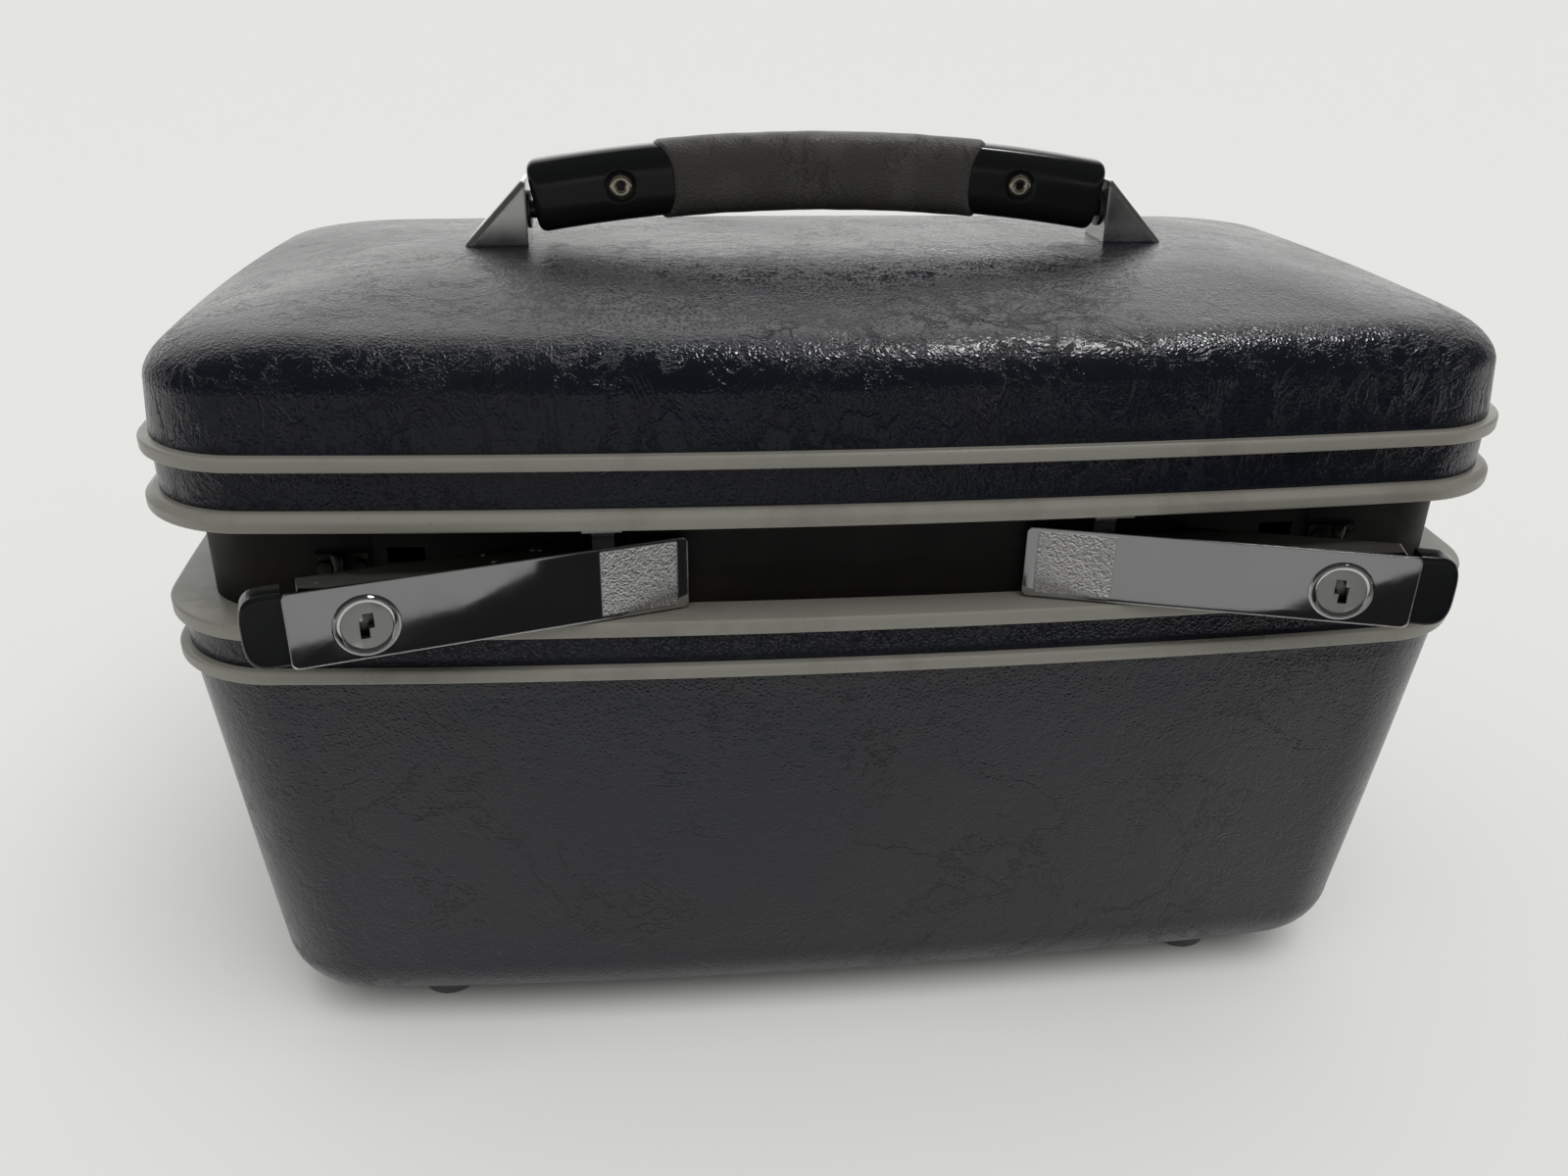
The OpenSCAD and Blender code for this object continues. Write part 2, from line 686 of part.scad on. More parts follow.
module lid_shell() color("#1d212b") cup(lid_levels(0), lid_levels(shell_t));

// The lining follows the shell outside, and has a flat padded ceiling inside
ceiling_z = z_shoulder + 7.5;
ceiling_r = 11;
ceiling_steps = 4;
ceiling_lean = 1.2;
lid_inner = trim_proud + shell_t + lining_t;
function ceiling_levels() = concat(
  [even(lid_inner, flange_top)],
  [for (i = [0:ceiling_steps])
    let (
      a = 90 * i / ceiling_steps,
      o = shoulder_in + shell_t + lining_t + ceiling_lean + ceiling_r * (1 - cos(a))
    )
    level(o, o, ceiling_z - ceiling_r * (1 - sin(a)), lid_corner(o) - 2)]
);
module lid_lining() color("#8d97a6") cup(lid_levels(shell_t), ceiling_levels());

flange_in = channel_depth + 0.5;
rim_slope = 1.7;
module lid_rim() color("#77786f") difference() {
  band([
    [flange_in, z_lid],
    [bead_edge - lid_rim_proud, z_lid],
    [-lid_rim_proud, z_lid + bead_edge],
    [-lid_rim_proud, z_lid_strip - rim_slope],
    [rim_slope - lid_rim_proud, z_lid_strip],
    [trim_proud, z_lid_strip],
    [trim_proud, flange_top],
    [flange_in, flange_top]
  ]);
  for (s = [1, -1]) scale_x(s) hinge_lid_rivet_set(hole = true);
}
module lid_upper_band() color("#77786f") band([
  [trim_proud, z_upper],
  [bead_edge / 2, z_upper],
  [0, z_upper + bead_edge],
  [0, z_upper_top - chamfer],
  [bead_edge, z_upper_top],
  [trim_proud, z_upper_top]
]);

// ---------------------------------------------------------------- mirror

mirror_t = 2;
mirror_rim = 7;
mirror_frame_t = 4;
mirror_lip = 2;
mirror_z = ceiling_z - 1 - mirror_t;
// Plate over the middle of the lid that reaches a distance beyond the mirror
module mirror_plate(reach, z, h) translate([-mirror_l / 2 - reach, -mirror_d / 2 - reach, z])
  cube([mirror_l + 2 * reach, mirror_d + 2 * reach, h]);
module mirror_frame() color("#b7b9bd") difference() {
  mirror_plate(mirror_rim, ceiling_z - mirror_frame_t, mirror_frame_t);
  mirror_plate(0, mirror_z, mirror_frame_t);
  mirror_plate(-mirror_lip, ceiling_z - mirror_frame_t - 1, mirror_frame_t);
}
module mirror_glass() color("#dfe6ea") mirror_plate(-seat_fit, mirror_z, mirror_t);

// ---------------------------------------------------------------- lid stay

// Both stay pivots are at one distance from the hinge axis, so the arm turns at half the
// lid's angle and its slot always lies on the stud
stay_t = 1.2;
stay_gap = 0.3;
arm_x = stay_x - 0.9;
arm_w = 9;
slot_play = 0.1;
slot_over = 0.4;
reach_min = 2 * stay_r * sin(stay_angle) - slot_over;
reach_max = 2 * stay_r * sin(stay_angle + lid_open / 2) + slot_over;
stay_pin_r = 1.8;
stay_head_h = 0.9;
module stay_arm() color("#b9bbbd") difference() {
  translate([-arm_x, stay_y, stay_pivot_z]) rotate([0, 90, 0]) {
    cylinder(r = arm_w / 2, h = stay_t, $fn = fn);
    translate([0, -arm_w / 2, 0]) cube([reach_max, arm_w, stay_t]);
    translate([reach_max, 0, 0]) cylinder(r = arm_w / 2, h = stay_t, $fn = fn);
  }
  translate([-arm_x - 1, stay_y, stay_pivot_z]) rotate([0, 90, 0]) {
    cylinder(r = stay_pin_r + run_fit, h = stay_t + 2, $fn = fn);
    for (u = [reach_min, reach_max])
      translate([u, 0, 0]) cylinder(r = stay_stud_r + slot_play, h = stay_t + 2, $fn = fn);
    translate([reach_min, -stay_stud_r - slot_play, 0])
      cube([reach_max - reach_min, 2 * (stay_stud_r + slot_play), stay_t + 2]);
  }
}
module stay_stud() color("#cfd1d3") translate([0, stay_y, stay_stud_z]) rotate([0, 90, 0]) {
  translate([0, 0, -stay_x - frame_t + tiny])
    cylinder(r = stay_stud_r, h = stay_x - arm_x + frame_t + stay_t + stay_gap, $fn = fn);
  translate([0, 0, -arm_x + stay_t + stay_gap]) button_head(stay_stud_r, stay_head_h);
}
// Bracket: a foot on the lid's flange, a plate above it and an upright that carries the pin
foot_end = case_w / 2 - lid_inner - 1.4;
stay_face = arm_x + stay_gap;
stay_pin_l = plate_t + stay_t + 2 * stay_gap;
module stay_bracket() color("#b9bbbd") {
  translate([-foot_end, stay_y - stay_half, flange_top])
    cube([foot_end - case_w / 2 + flange_in, 2 * stay_half, plate_t + tiny]);
  translate([-foot_end, stay_y - stay_half, flange_top + plate_t])
    cube([foot_end - stay_face, 2 * stay_half, plate_t]);
  difference() {
    translate([-stay_face - plate_t, stay_y - stay_half, flange_top + plate_t])
      cube([plate_t, 2 * stay_half, stay_pivot_z - flange_top + 3]);
    translate([-arm_x, stay_y, stay_pivot_z]) rotate([0, 90, 0])
      cylinder(r = stay_pin_r - 0.2, h = 8, center = true, $fn = fn);
  }
  translate([-stay_face - plate_t, stay_y, stay_pivot_z]) rotate([0, 90, 0]) {
    cylinder(r = stay_pin_r, h = stay_pin_l, $fn = fn);
    translate([0, 0, stay_pin_l]) button_head(stay_pin_r, stay_head_h);
  }
}

// ---------------------------------------------------------------- handle

pivot_z = z_top + pivot_h;
arch_mid = z_top + grip_rise;
handle_half = bracket_x - end_gap;
arch_fn = 360;
function arch_angle(x) = asin(x / arch_r);

// Rounded rectangle section, centred on the arch radius
function rounded(h, d, r, n = 5) = [for (q = [0:3], i = [0:n])
  let (a = 90 * q + 90 * i / n)
  [sx[q] * (h / 2 - r) + r * cos(a), sy[q] * (d / 2 - r) + r * sin(a)]];
module arch(x0, x1, section) translate([0, 0, arch_mid - arch_r]) rotate([90, 0, 0])
  rotate_extrude(angle = arch_angle(x1) - arch_angle(x0), start = 90 - arch_angle(x1), $fn = arch_fn)
    translate([arch_r, 0]) polygon(section);

core_h = 11;
core_d = 2.2;
core_half = handle_half - 6;
end_h = grip_h - 2 * end_step;
end_d = grip_d - 2 * end_step;
section_r = 6.8;

// Flat steel core and the slot for it, which is larger by a gap all round
module core_bar(gap) arch(-core_half - gap, core_half + gap, [
  [-core_h / 2 - gap, -core_d / 2 - gap],
  [core_h / 2 + gap, -core_d / 2 - gap],
  [core_h / 2 + gap, core_d / 2 + gap],
  [-core_h / 2 - gap, core_d / 2 + gap]
]);
module handle_core() color("#8b8d90") difference() {
  core_bar(0);
  eyelet_bore(eyelet_tube_r + seat_fit);
}

// Upright column over the sleeve's plan, with a rounded tongue at each end
tongue_x = grip_half - tongue_r;
module sleeve_column() {
  translate([-tongue_x, -tongue_r, z_top]) cube([2 * tongue_x, 2 * tongue_r, 3 * grip_h]);
  for (s = [1, -1])
    translate([s * tongue_x, 0, z_top]) cylinder(r = tongue_r, h = 3 * grip_h, $fn = fn);
}
module grip_sleeve() color("#2b2725") difference() {
  intersection() {
    arch(-grip_half - 1, grip_half + 1, rounded(grip_h, grip_d, section_r));
    sleeve_column();
  }
  core_bar(seat_fit);
}

// Tubular rivets through the end pieces
eyelet_tube_r = 1.9;
eyelet_wall = 0.9;
recess_t = 0.6;
recess_gap = 0.7;
eyelet_z = arch_mid - arch_r * (1 - cos(arch_angle(eyelet_x)));
module eyelet_bore(r, l = 2 * grip_d, y = 0) for (s = [1, -1])
  translate([s * eyelet_x, y, eyelet_z]) rotate([90, 0, 0])
    cylinder(r = r, h = l, center = true, $fn = fn);

// End piece: an arched bar whose outer end is rounded over, hollowed for the sleeve's tongue
end_round = 2.2;
round_steps = 3;
module handle_end() difference() {
  union() {
    arch(tongue_x, handle_half - end_round, rounded(end_h, end_d, section_r));
    for (i = [0:round_steps - 1]) {
      a0 = 90 * i / round_steps;
      a1 = 90 * (i + 1) / round_steps;
      drop = end_round * (1 - cos((a0 + a1) / 2));
      arch(
        handle_half - end_round + end_round * sin(a0) - tiny,
        handle_half - end_round + end_round * sin(a1),
        rounded(end_h - 2 * drop, end_d - 2 * drop, section_r - drop)
      );
    }
  }
  sleeve_column();
  core_bar(seat_fit);
  eyelet_bore(eyelet_tube_r + seat_fit);
  for (f = [1, -1]) eyelet_bore(eyelet_r + recess_gap, 2 * recess_t, f * end_d / 2);
  along_x(handle_half - 5, handle_half + 5, 0, pivot_z, pivot_r + run_fit);
}
module handle_end_left() color("#0e1011") scale_x(-1) handle_end();
module handle_end_right() color("#0e1011") handle_end();

module handle_eyelets() color("#b8ad93") difference() {
  union() {
    eyelet_bore(eyelet_tube_r, end_d - 2 * recess_t + 1);
    for (f = [1, -1])
      eyelet_bore(eyelet_r, recess_t + 0.4, f * (end_d / 2 - recess_t / 2 + 0.2));
  }
  eyelet_bore(eyelet_tube_r - eyelet_wall);
}

// Wedge bracket: a hollow triangular casting that carries the pivot, bevelled along its slope
bracket_t = 1.8;
bracket_tip = 1.2;
bracket_toe = 0.6;
bracket_bevel = 1.5;
bracket_back = 4;
bracket_deep = 2 * bracket_h;
slope_run = bracket_l - bracket_tip;
slope_drop = bracket_h - bracket_toe;
slope_len = norm([slope_run, slope_drop]);
module wedge(thick, points)
  translate([0, thick / 2, 0]) rotate([90, 0, 0]) linear_extrude(height = thick) polygon(points);
module bracket_slope()
  translate([bracket_x + bracket_tip, 0, z_top + bracket_h])
    rotate([0, 90 + atan2(slope_drop, slope_run), 0])
      translate([0, 0, -slope_len]) linear_extrude(height = 3 * slope_len) polygon([
        [0, bracket_bevel - bracket_d / 2],
        [bracket_bevel, -bracket_d / 2],
        [bracket_deep, -bracket_d / 2],
        [bracket_deep, bracket_d / 2],
        [bracket_bevel, bracket_d / 2],
        [0, bracket_d / 2 - bracket_bevel]
      ]);
module bracket() difference() {
  intersection() {
    wedge(bracket_d, [
      [bracket_x, z_top],
      [bracket_x + bracket_l, z_top],
      [bracket_x + bracket_l, z_top + bracket_toe],
      [bracket_x + bracket_tip, z_top + bracket_h],
      [bracket_x, z_top + bracket_h]
    ]);
    bracket_slope();
  }
  wedge(bracket_d - 2 * bracket_t, [
    [bracket_x + bracket_back, z_top - 1],
    [bracket_x + bracket_l - 2 * bracket_t, z_top - 1],
    [bracket_x + bracket_l - 2 * bracket_t, z_top + bracket_toe],
    [bracket_x + bracket_back, z_top + bracket_h - 3 * bracket_t]
  ]);
  along_x(bracket_x - 2, bracket_x + bracket_back + 0.5, 0, pivot_z, pivot_r + seat_fit);
}
module handle_bracket_left() color("#d5d7d9") scale_x(-1) bracket();
module handle_bracket_right() color("#d5d7d9") bracket();

collar_t = 0.7;
collar_lip = 2.6;
module handle_pin() {
  along_x(handle_half - 4.5, bracket_x + bracket_back + 0.2, 0, pivot_z, pivot_r);
  along_x(bracket_x - collar_t, bracket_x, 0, pivot_z, pivot_r + collar_lip);
}
module handle_pin_left() color("#55575a") scale_x(-1) handle_pin();
module handle_pin_right() color("#55575a") handle_pin();

// ---------------------------------------------------------------- latch levers

// Lever coordinates: s along the lever from its inner end, v behind its face
function sv(s, v) = [s - pivot_run, v - pivot_depth];
module flat(z, h) translate([0, 0, z]) linear_extrude(height = h) children();
// Face drawn in s and z, given a thickness in v
module face(v, t) translate([-pivot_run, v - pivot_depth + t, 0]) rotate([90, 0, 0])
  linear_extrude(height = t) children();
module block(z, h, s0, s1, v0, v1) flat(z, h) polygon([sv(s0, v0), sv(s1, v0), sv(s1, v1), sv(s0, v1)]);

bevel_run = 26;
frame_end = cover_l - button_travel - 0.4;
skin = 0.6;
cover_corner = 1.6;
corner_facets = 4;

// Side profile of the lever between the depths v0 and the bevelled back
module side_profile(s0, s1, v0, shy) polygon([
  sv(s0, v0),
  sv(s1, v0),
  sv(s1, lever_depth - shy),
  sv(bevel_run, lever_depth - shy),
  sv(s0, lever_tip_depth + (lever_depth - lever_tip_depth) * s0 / bevel_run - shy)
]);
function cover_points(r) = [for (q = [0:3], i = [0:corner_facets])
  let (a = 90 * q + 90 * i / corner_facets)
  [
    cover_l / 2 + sx[q] * (cover_l / 2 - r) + r * cos(a),
    lever_mid + sy[q] * (cover_h / 2 - r) + r * sin(a)
  ]];
lock_s = cover_l - lock_in - pivot_run;
lock_z = lever_mid - 0.9;
module at_lock(v = 0) translate([lock_s, v - pivot_depth, lock_z]) rotate([90, 0, 0]) children();
module lock_bore(r) at_lock() cylinder(r = r, h = 4 * lever_depth, center = true, $fn = fn);

panel_in = 1.1;
panel_start = 3;
panel_sink = 0.25;
module lever_cover() difference() {
  union() {
    face(0, cover_t) polygon(cover_points(cover_corner));
    for (z = [lever_low, lever_high - skin])
      flat(z, skin) side_profile(cover_corner, frame_end, cover_t / 2, 0);
    block(lever_low + cover_corner, cover_h - 2 * cover_corner, 0, skin, cover_t / 2, lever_tip_depth);
  }
  face(-1, 1 + panel_sink) translate([panel_start, lever_low + panel_in])
    square([panel_l, cover_h - 2 * panel_in]);
  lock_bore(plug_r + run_fit);
}
module lever_cover_left() color("#dcdcde") at_lever(-1) lever_cover();
module lever_cover_right() color("#dcdcde") at_lever(1) lever_cover();

// Frame: a tapered channel with the pivot web, the hook and the lock barrel
web_r = 3.2;
web_root = [pivot_run - 4, pivot_run + 9];
hook_out = 3.9;
hook_neck = 1.2;
hook_root = 1.6;
hook_far = 4.2;
hook_t = 1;
barrel_l = 3.6;
barrel_t = 1.3;
module hook() rotate([0, 0, -closed_angle]) polygon([
  [-hook_out, hook_far - hook_t],
  [-hook_neck, hook_far - hook_t],
  [-hook_neck, 0],
  [hook_root, 0],
  [hook_root, hook_far],
  [-hook_out, hook_far]
]);
module lever_frame() difference() {
  union() {
    block(lever_low + skin, cover_h - 2 * skin, skin, frame_end, cover_t, cover_t + lever_t);
    for (z = [lever_low + skin, lever_high - skin - lever_t])
      flat(z, lever_t) side_profile(cover_corner, frame_end, cover_t, lever_shy);
    flat(web_low, web_t) {
      polygon([
        sv(web_root[0], cover_t),
        sv(web_root[1], cover_t),
        sv(pivot_run + web_r, pivot_depth),
        sv(pivot_run - web_r, pivot_depth)
      ]);
      hook();
    }
    translate([0, 0, web_low]) cylinder(r = web_r, h = web_t, $fn = fn);
    at_lock(cover_t + barrel_l) cylinder(r = plug_r + barrel_t, h = barrel_l, $fn = fn);
  }
  translate([0, 0, lever_low]) cylinder(r = latch_pin_r + run_fit, h = cover_h, $fn = fn);
  lock_bore(plug_r + run_fit);
}
lever_shy = 0.3;
module lever_frame_left() color("#85878a") at_lever(-1) lever_frame();
module lever_frame_right() color("#85878a") at_lever(1) lever_frame();

// Lock ring on the face and the plug that turns inside it
ring_t = 1;
ring_bevel = 0.5;
module lock_ring() at_lock() rotate_extrude($fn = fn) polygon([
  [plug_r + run_fit, 0],
  [ring_r, 0],
  [ring_r - ring_bevel, ring_t],
  [plug_r + 0.9, ring_t],
  [plug_r + run_fit, ring_t - 0.4]
]);
module lock_ring_left() color("#e2e2e4") at_lever(-1) lock_ring();
module lock_ring_right() color("#e2e2e4") at_lever(1) lock_ring();

plug_back = 4.4;
plug_front = 0.45;
key_depth = 3;
key_half = [1.6, 3];
key_step = [0.8, 1.3];
key_foot = [0.4, 0.6];
cam_t = 0.6;
cam_w = 3.6;
// Zig-zag keyway through the face of the plug
module keyway() translate([0, 0, plug_front - key_depth]) linear_extrude(height = key_depth + 1)
  polygon([
    [-key_half[0], key_half[1]],
    [key_step[0], key_half[1]],
    [key_step[0], key_step[1]],
    [key_half[0], key_step[1]],
    [key_half[0], -key_half[1]],
    [-key_foot[0], -key_half[1]],
    [-key_foot[0], -key_foot[1]],
    [-key_half[0], -key_foot[1]]
  ]);
module lock_plug() at_lock() {
  difference() {
    translate([0, 0, -plug_back]) cylinder(r = plug_r, h = plug_back + plug_front, $fn = fn);
    keyway();
  }
  translate([0, 0, -plug_back - cam_t]) intersection() {
    cylinder(r = plug_r - 0.3, h = cam_t + tiny, $fn = fn);
    translate([-cam_w / 2, -1, 0]) cube([cam_w, plug_r + 2, 2 * cam_t]);
  }
}
module lock_plug_left() color("#c3c3c5") at_lever(-1) lock_plug();
module lock_plug_right() color("#c3c3c5") at_lever(1) lock_plug();

// Release button: a domed cap outside the lever, on a slide whose nose stands beside the post
button_gap = 0.3;
cap_in = cover_l - 0.1;
cap_corner = 4;
cap_bulge = 2;
cap_steps = 6;
slide_v = [plug_back + cam_t + button_gap, lever_depth - 0.6];
slide_low = lever_low + skin + lever_t + 0.2;
slide_high = shelf_z - 0.4;
nose_s = pivot_run + catch_run - post_r - 0.5;
nose_t = 1.8;
function cap_points() = let (
    low = lever_low + button_gap,
    high = lever_high - button_gap,
    out = cover_l + button_l,
    corner = out - cap_bulge - cap_corner
  )
  concat(
    [[cap_in, low]],
    [for (i = [0:cap_steps]) let (a = -90 + 70 * i / cap_steps)
      [corner + cap_corner * cos(a), low + cap_corner * (1 + sin(a))]],
    [[out, (low + high) / 2]],
    [for (i = [0:cap_steps]) let (a = 20 + 70 * i / cap_steps)
      [corner + cap_corner * cos(a), high - cap_corner * (1 - sin(a))]],
    [[cap_in, high]]
  );
module release_button() {
  face(cover_t + button_gap, lever_depth - cover_t - 2 * button_gap) polygon(cap_points());
  block(slide_low, slide_high - slide_low, nose_s - nose_t, cap_in + 1, slide_v[0], slide_v[1]);
  block(slide_low, post_top - slide_low, nose_s - nose_t, nose_s, slide_v[0], slide_v[1]);
}
module release_button_left() color("#0b0c0d") at_lever(-1) release_button();
module release_button_right() color("#0b0c0d") at_lever(1) release_button();

// ---------------------------------------------------------------- assembly

// Middle of the whole from front to back: the buttons stand out in front, the lid rim behind
front_reach = -latch_y
  + (cover_l + button_l - pivot_run) * sin(open_angle)
  + (pivot_depth - cover_t - button_gap) * cos(open_angle);
back_reach = case_d / 2 + lid_rim_proud;
module centred() translate([0, (front_reach - back_reach) / 2, 0]) children();

centred() body_shell();
centred() body_lining();
centred() body_lower_band();
centred() body_rim();
centred() channel_frame();
centred() feet();
centred() foot_rivets();
centred() hinge_leaf_body_left();
centred() hinge_leaf_body_right();
centred() hinge_pin_left();
centred() hinge_pin_right();
centred() hinge_rivets_body();
centred() stay_stud();
centred() latch_base_left();
centred() latch_base_right();
centred() latch_pin_left();
centred() latch_pin_right();
centred() catch_left();
centred() catch_right();
centred() catch_rivets();
centred() lid_shell();
centred() lid_lining();
centred() lid_rim();
centred() lid_upper_band();
centred() mirror_frame();
centred() mirror_glass();  // mirror
centred() hinge_leaf_lid_left();
centred() hinge_leaf_lid_right();
centred() hinge_rivets_lid();
centred() hasp_left();
centred() hasp_right();
centred() stay_bracket();
centred() stay_arm();
centred() handle_bracket_left();
centred() handle_bracket_right();
centred() handle_pin_left();
centred() handle_pin_right();
centred() handle_core();
centred() grip_sleeve();
centred() handle_end_left();
centred() handle_end_right();
centred() handle_eyelets();
centred() lever_frame_left();
centred() lever_frame_right();
centred() lever_cover_left();
centred() lever_cover_right();
centred() lock_ring_left();
centred() lock_ring_right();
centred() lock_plug_left();
centred() lock_plug_right();
centred() release_button_left();
centred() release_button_right();
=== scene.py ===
"""Looks of a hard-sided train case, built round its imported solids."""

import logging
import math
from dataclasses import dataclass, field
from enum import Enum
from typing import Sequence

import bpy
import numpy as np
from mathutils import Matrix, Vector


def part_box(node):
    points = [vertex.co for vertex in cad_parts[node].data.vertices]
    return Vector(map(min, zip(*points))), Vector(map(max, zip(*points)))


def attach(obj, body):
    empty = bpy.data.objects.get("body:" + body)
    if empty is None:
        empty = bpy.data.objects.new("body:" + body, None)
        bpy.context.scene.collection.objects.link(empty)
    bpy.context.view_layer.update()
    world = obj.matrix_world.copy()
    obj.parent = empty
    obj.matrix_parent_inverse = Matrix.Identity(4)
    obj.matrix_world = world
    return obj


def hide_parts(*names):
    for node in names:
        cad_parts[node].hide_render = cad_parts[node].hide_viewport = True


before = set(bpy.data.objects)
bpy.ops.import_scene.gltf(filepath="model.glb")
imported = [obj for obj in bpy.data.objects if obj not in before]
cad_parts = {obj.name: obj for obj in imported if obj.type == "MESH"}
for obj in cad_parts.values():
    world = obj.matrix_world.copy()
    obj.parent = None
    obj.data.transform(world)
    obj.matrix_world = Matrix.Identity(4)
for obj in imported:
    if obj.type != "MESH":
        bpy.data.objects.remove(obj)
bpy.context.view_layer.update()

MM = 0.001
LOG = logging.getLogger("train_case")
# The trim is drawn round its own middle, which lies behind the frame's origin
CENTRE_Y = sum(corner.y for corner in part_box("body_rim")) / 2

Array = np.ndarray
Pair = tuple[float, float]
Triple = tuple[float, float, float]
Faces = list[list[int]]
Socket = bpy.types.NodeSocket


class Side(Enum):
    """The two ends of the case, as the sign of X."""

    LEFT = -1
    RIGHT = 1

    @property
    def word(self) -> str:
        """The name that the side's pieces end with."""
        return self.name.lower()


# -------------------- shader building


class Graph:
    """A node tree whose nodes are added in a few words each."""

    def __init__(self, tree: bpy.types.NodeTree) -> None:
        """Takes hold of a tree's nodes and links."""
        self.nodes = tree.nodes
        self.links = tree.links

    def put(self, socket: Socket, value: object) -> None:
        """Links a socket to another one, or sets its plain value."""
        if isinstance(value, bpy.types.NodeSocket):
            self.links.new(value, socket)
        else:
            socket.default_value = value

    def add(self, kind: str, inputs: dict[str | int, object], **settings: object) -> bpy.types.Node:
        """Adds a node.

        Args:
            kind: the node's type, without its first part.
            inputs: what its inputs get, by name or number.
            settings: its own properties.

        Returns:
            The new node.
        """
        node = self.nodes.new(f"ShaderNode{kind}")
        for name, value in settings.items():
            setattr(node, name, value)
        for key, value in inputs.items():
            self.put(node.inputs[key], value)
        return node

    def ramp(self, value: Socket, low: float, high: float, start: float = 0.0, end: float = 1.0) -> Socket:
        """A smooth step from start to end while the value goes from low to high, and flat beyond."""
        inputs = {"Value": value, "From Min": low, "From Max": high, "To Min": start, "To Max": end}
        return self.add("MapRange", inputs, interpolation_type="SMOOTHSTEP").outputs["Result"]


class Shader(Graph):
    """A principled material that reads the object coordinates, in metres."""

    def __init__(self, name: str) -> None:
        """Makes an empty principled material with a name."""
        self.material = bpy.data.materials.new(f"finish_{name}")
        self.material.use_nodes = True
        super().__init__(self.material.node_tree)
        self.surface = self.nodes["Principled BSDF"]
        self.place = self.add("TexCoord", {}).outputs["Object"]

    def set(self, **values: object) -> None:
        """Fills the shader's own inputs; an underscore stands for a space."""
        for name, value in values.items():
            title = name.replace("_", " ")
            self.put(next(s for s in self.surface.inputs if s.name.lower() == title), value)

    def stretched(self, scale: Triple, turn: Triple = (0, 0, 0)) -> Socket:
        """The coordinates, scaled along each axis and turned about each by an angle in radians."""
        return self.add("Mapping", {"Vector": self.place, "Rotation": turn, "Scale": scale}).outputs["Vector"]

    def noise(self, scale: float, detail: float = 2.0, vector: Socket | None = None,
              distortion: float = 0.0, roughness: float = 0.5) -> Socket:
        """Fractal noise round 0.5 of scale cells per metre and detail octaves, read at the vector."""
        inputs = {"Vector": vector or self.place, "Scale": scale, "Detail": detail,
                  "Roughness": roughness, "Distortion": distortion}
        return self.add("TexNoise", inputs).outputs["Fac"]

    def cells(self, scale: float, vector: Socket, feature: str = "DISTANCE_TO_EDGE") -> Socket:
        """Distance to the edge, or for F1 the centre, of Voronoi cells; the scale is cells per metre."""
        return self.add("TexVoronoi", {"Vector": vector, "Scale": scale}, feature=feature).outputs["Distance"]

    def maths(self, operation: str, *values: object, clamp: bool = False) -> Socket:
        """One of Blender's arithmetic steps on sockets or numbers, kept from 0 to 1 if it is clamped."""
        node = self.add("Math", dict(enumerate(values)), operation=operation, use_clamp=clamp)
        return node.outputs["Value"]

    def times(self, first: object, second: object) -> Socket:
        """The product of two sockets or numbers."""
        return self.maths("MULTIPLY", first, second)

    def plus(self, first: object, second: object) -> Socket:
        """The sum of two sockets or numbers."""
        return self.maths("ADD", first, second)

    def lines(self, value: Socket, width: float) -> Socket:
        """1 where a noise crosses 0.5, and 0 from where it is off by the width."""
        return self.ramp(self.maths("ABSOLUTE", self.maths("SUBTRACT", value, 0.5)), 0.0, width, 1.0, 0.0)

    def span(self, axis: int, low: float, high: float) -> Socket:
        """A smooth step from 0 at low to 1 at high along one axis."""
        return self.ramp(self.add("SeparateXYZ", {"Vector": self.place}).outputs[axis], low, high)

    def blend(self, factor: object, first: object, second: object) -> Socket:
        """A mix of two colours, with the factor as the share of the second."""
        first, second = ((*c, 1.0) if isinstance(c, tuple) else c for c in (first, second))
        return self.add("Mix", {"Factor": factor, 6: first, 7: second}, data_type="RGBA").outputs[2]

    def warped(self, scale: float, reach: float) -> Socket:
        """The coordinates, moved by at most the reach by a noise of scale cells per metre."""
        noise = self.add("TexNoise", {"Vector": self.place, "Scale": scale}).outputs["Color"]
        inputs = {0: noise, 1: (reach,) * 3, 2: self.place}
        return self.add("VectorMath", inputs, operation="MULTIPLY_ADD").outputs["Vector"]

    def open_to(self, reach: float) -> Socket:
        """1 where the surface is open as far as the reach, and near 0 deep in a recess."""
        return self.add("AmbientOcclusion", {"Distance": reach}, samples=8, only_local=True).outputs["AO"]

    def height(self, value: Socket, depth: float, strength: float = 1.0, rolled: float = 0.0) -> None:
        """Bumps the surface.

        Args:
            value: the height, from 0 to 1.
            depth: how deep a step from 1 to 0 is, in metres.
            strength: share of the bump that is used.
            rolled: radius by which edges look rounded, in metres.
        """
        inputs = {"Distance": depth, "Strength": strength, "Height": value}
        if rolled:
            inputs["Normal"] = self.add("Bevel", {"Radius": rolled}).outputs["Normal"]
        self.put(self.surface.inputs["Normal"], self.add("Bump", inputs).outputs["Normal"])


# -------------------- finishes


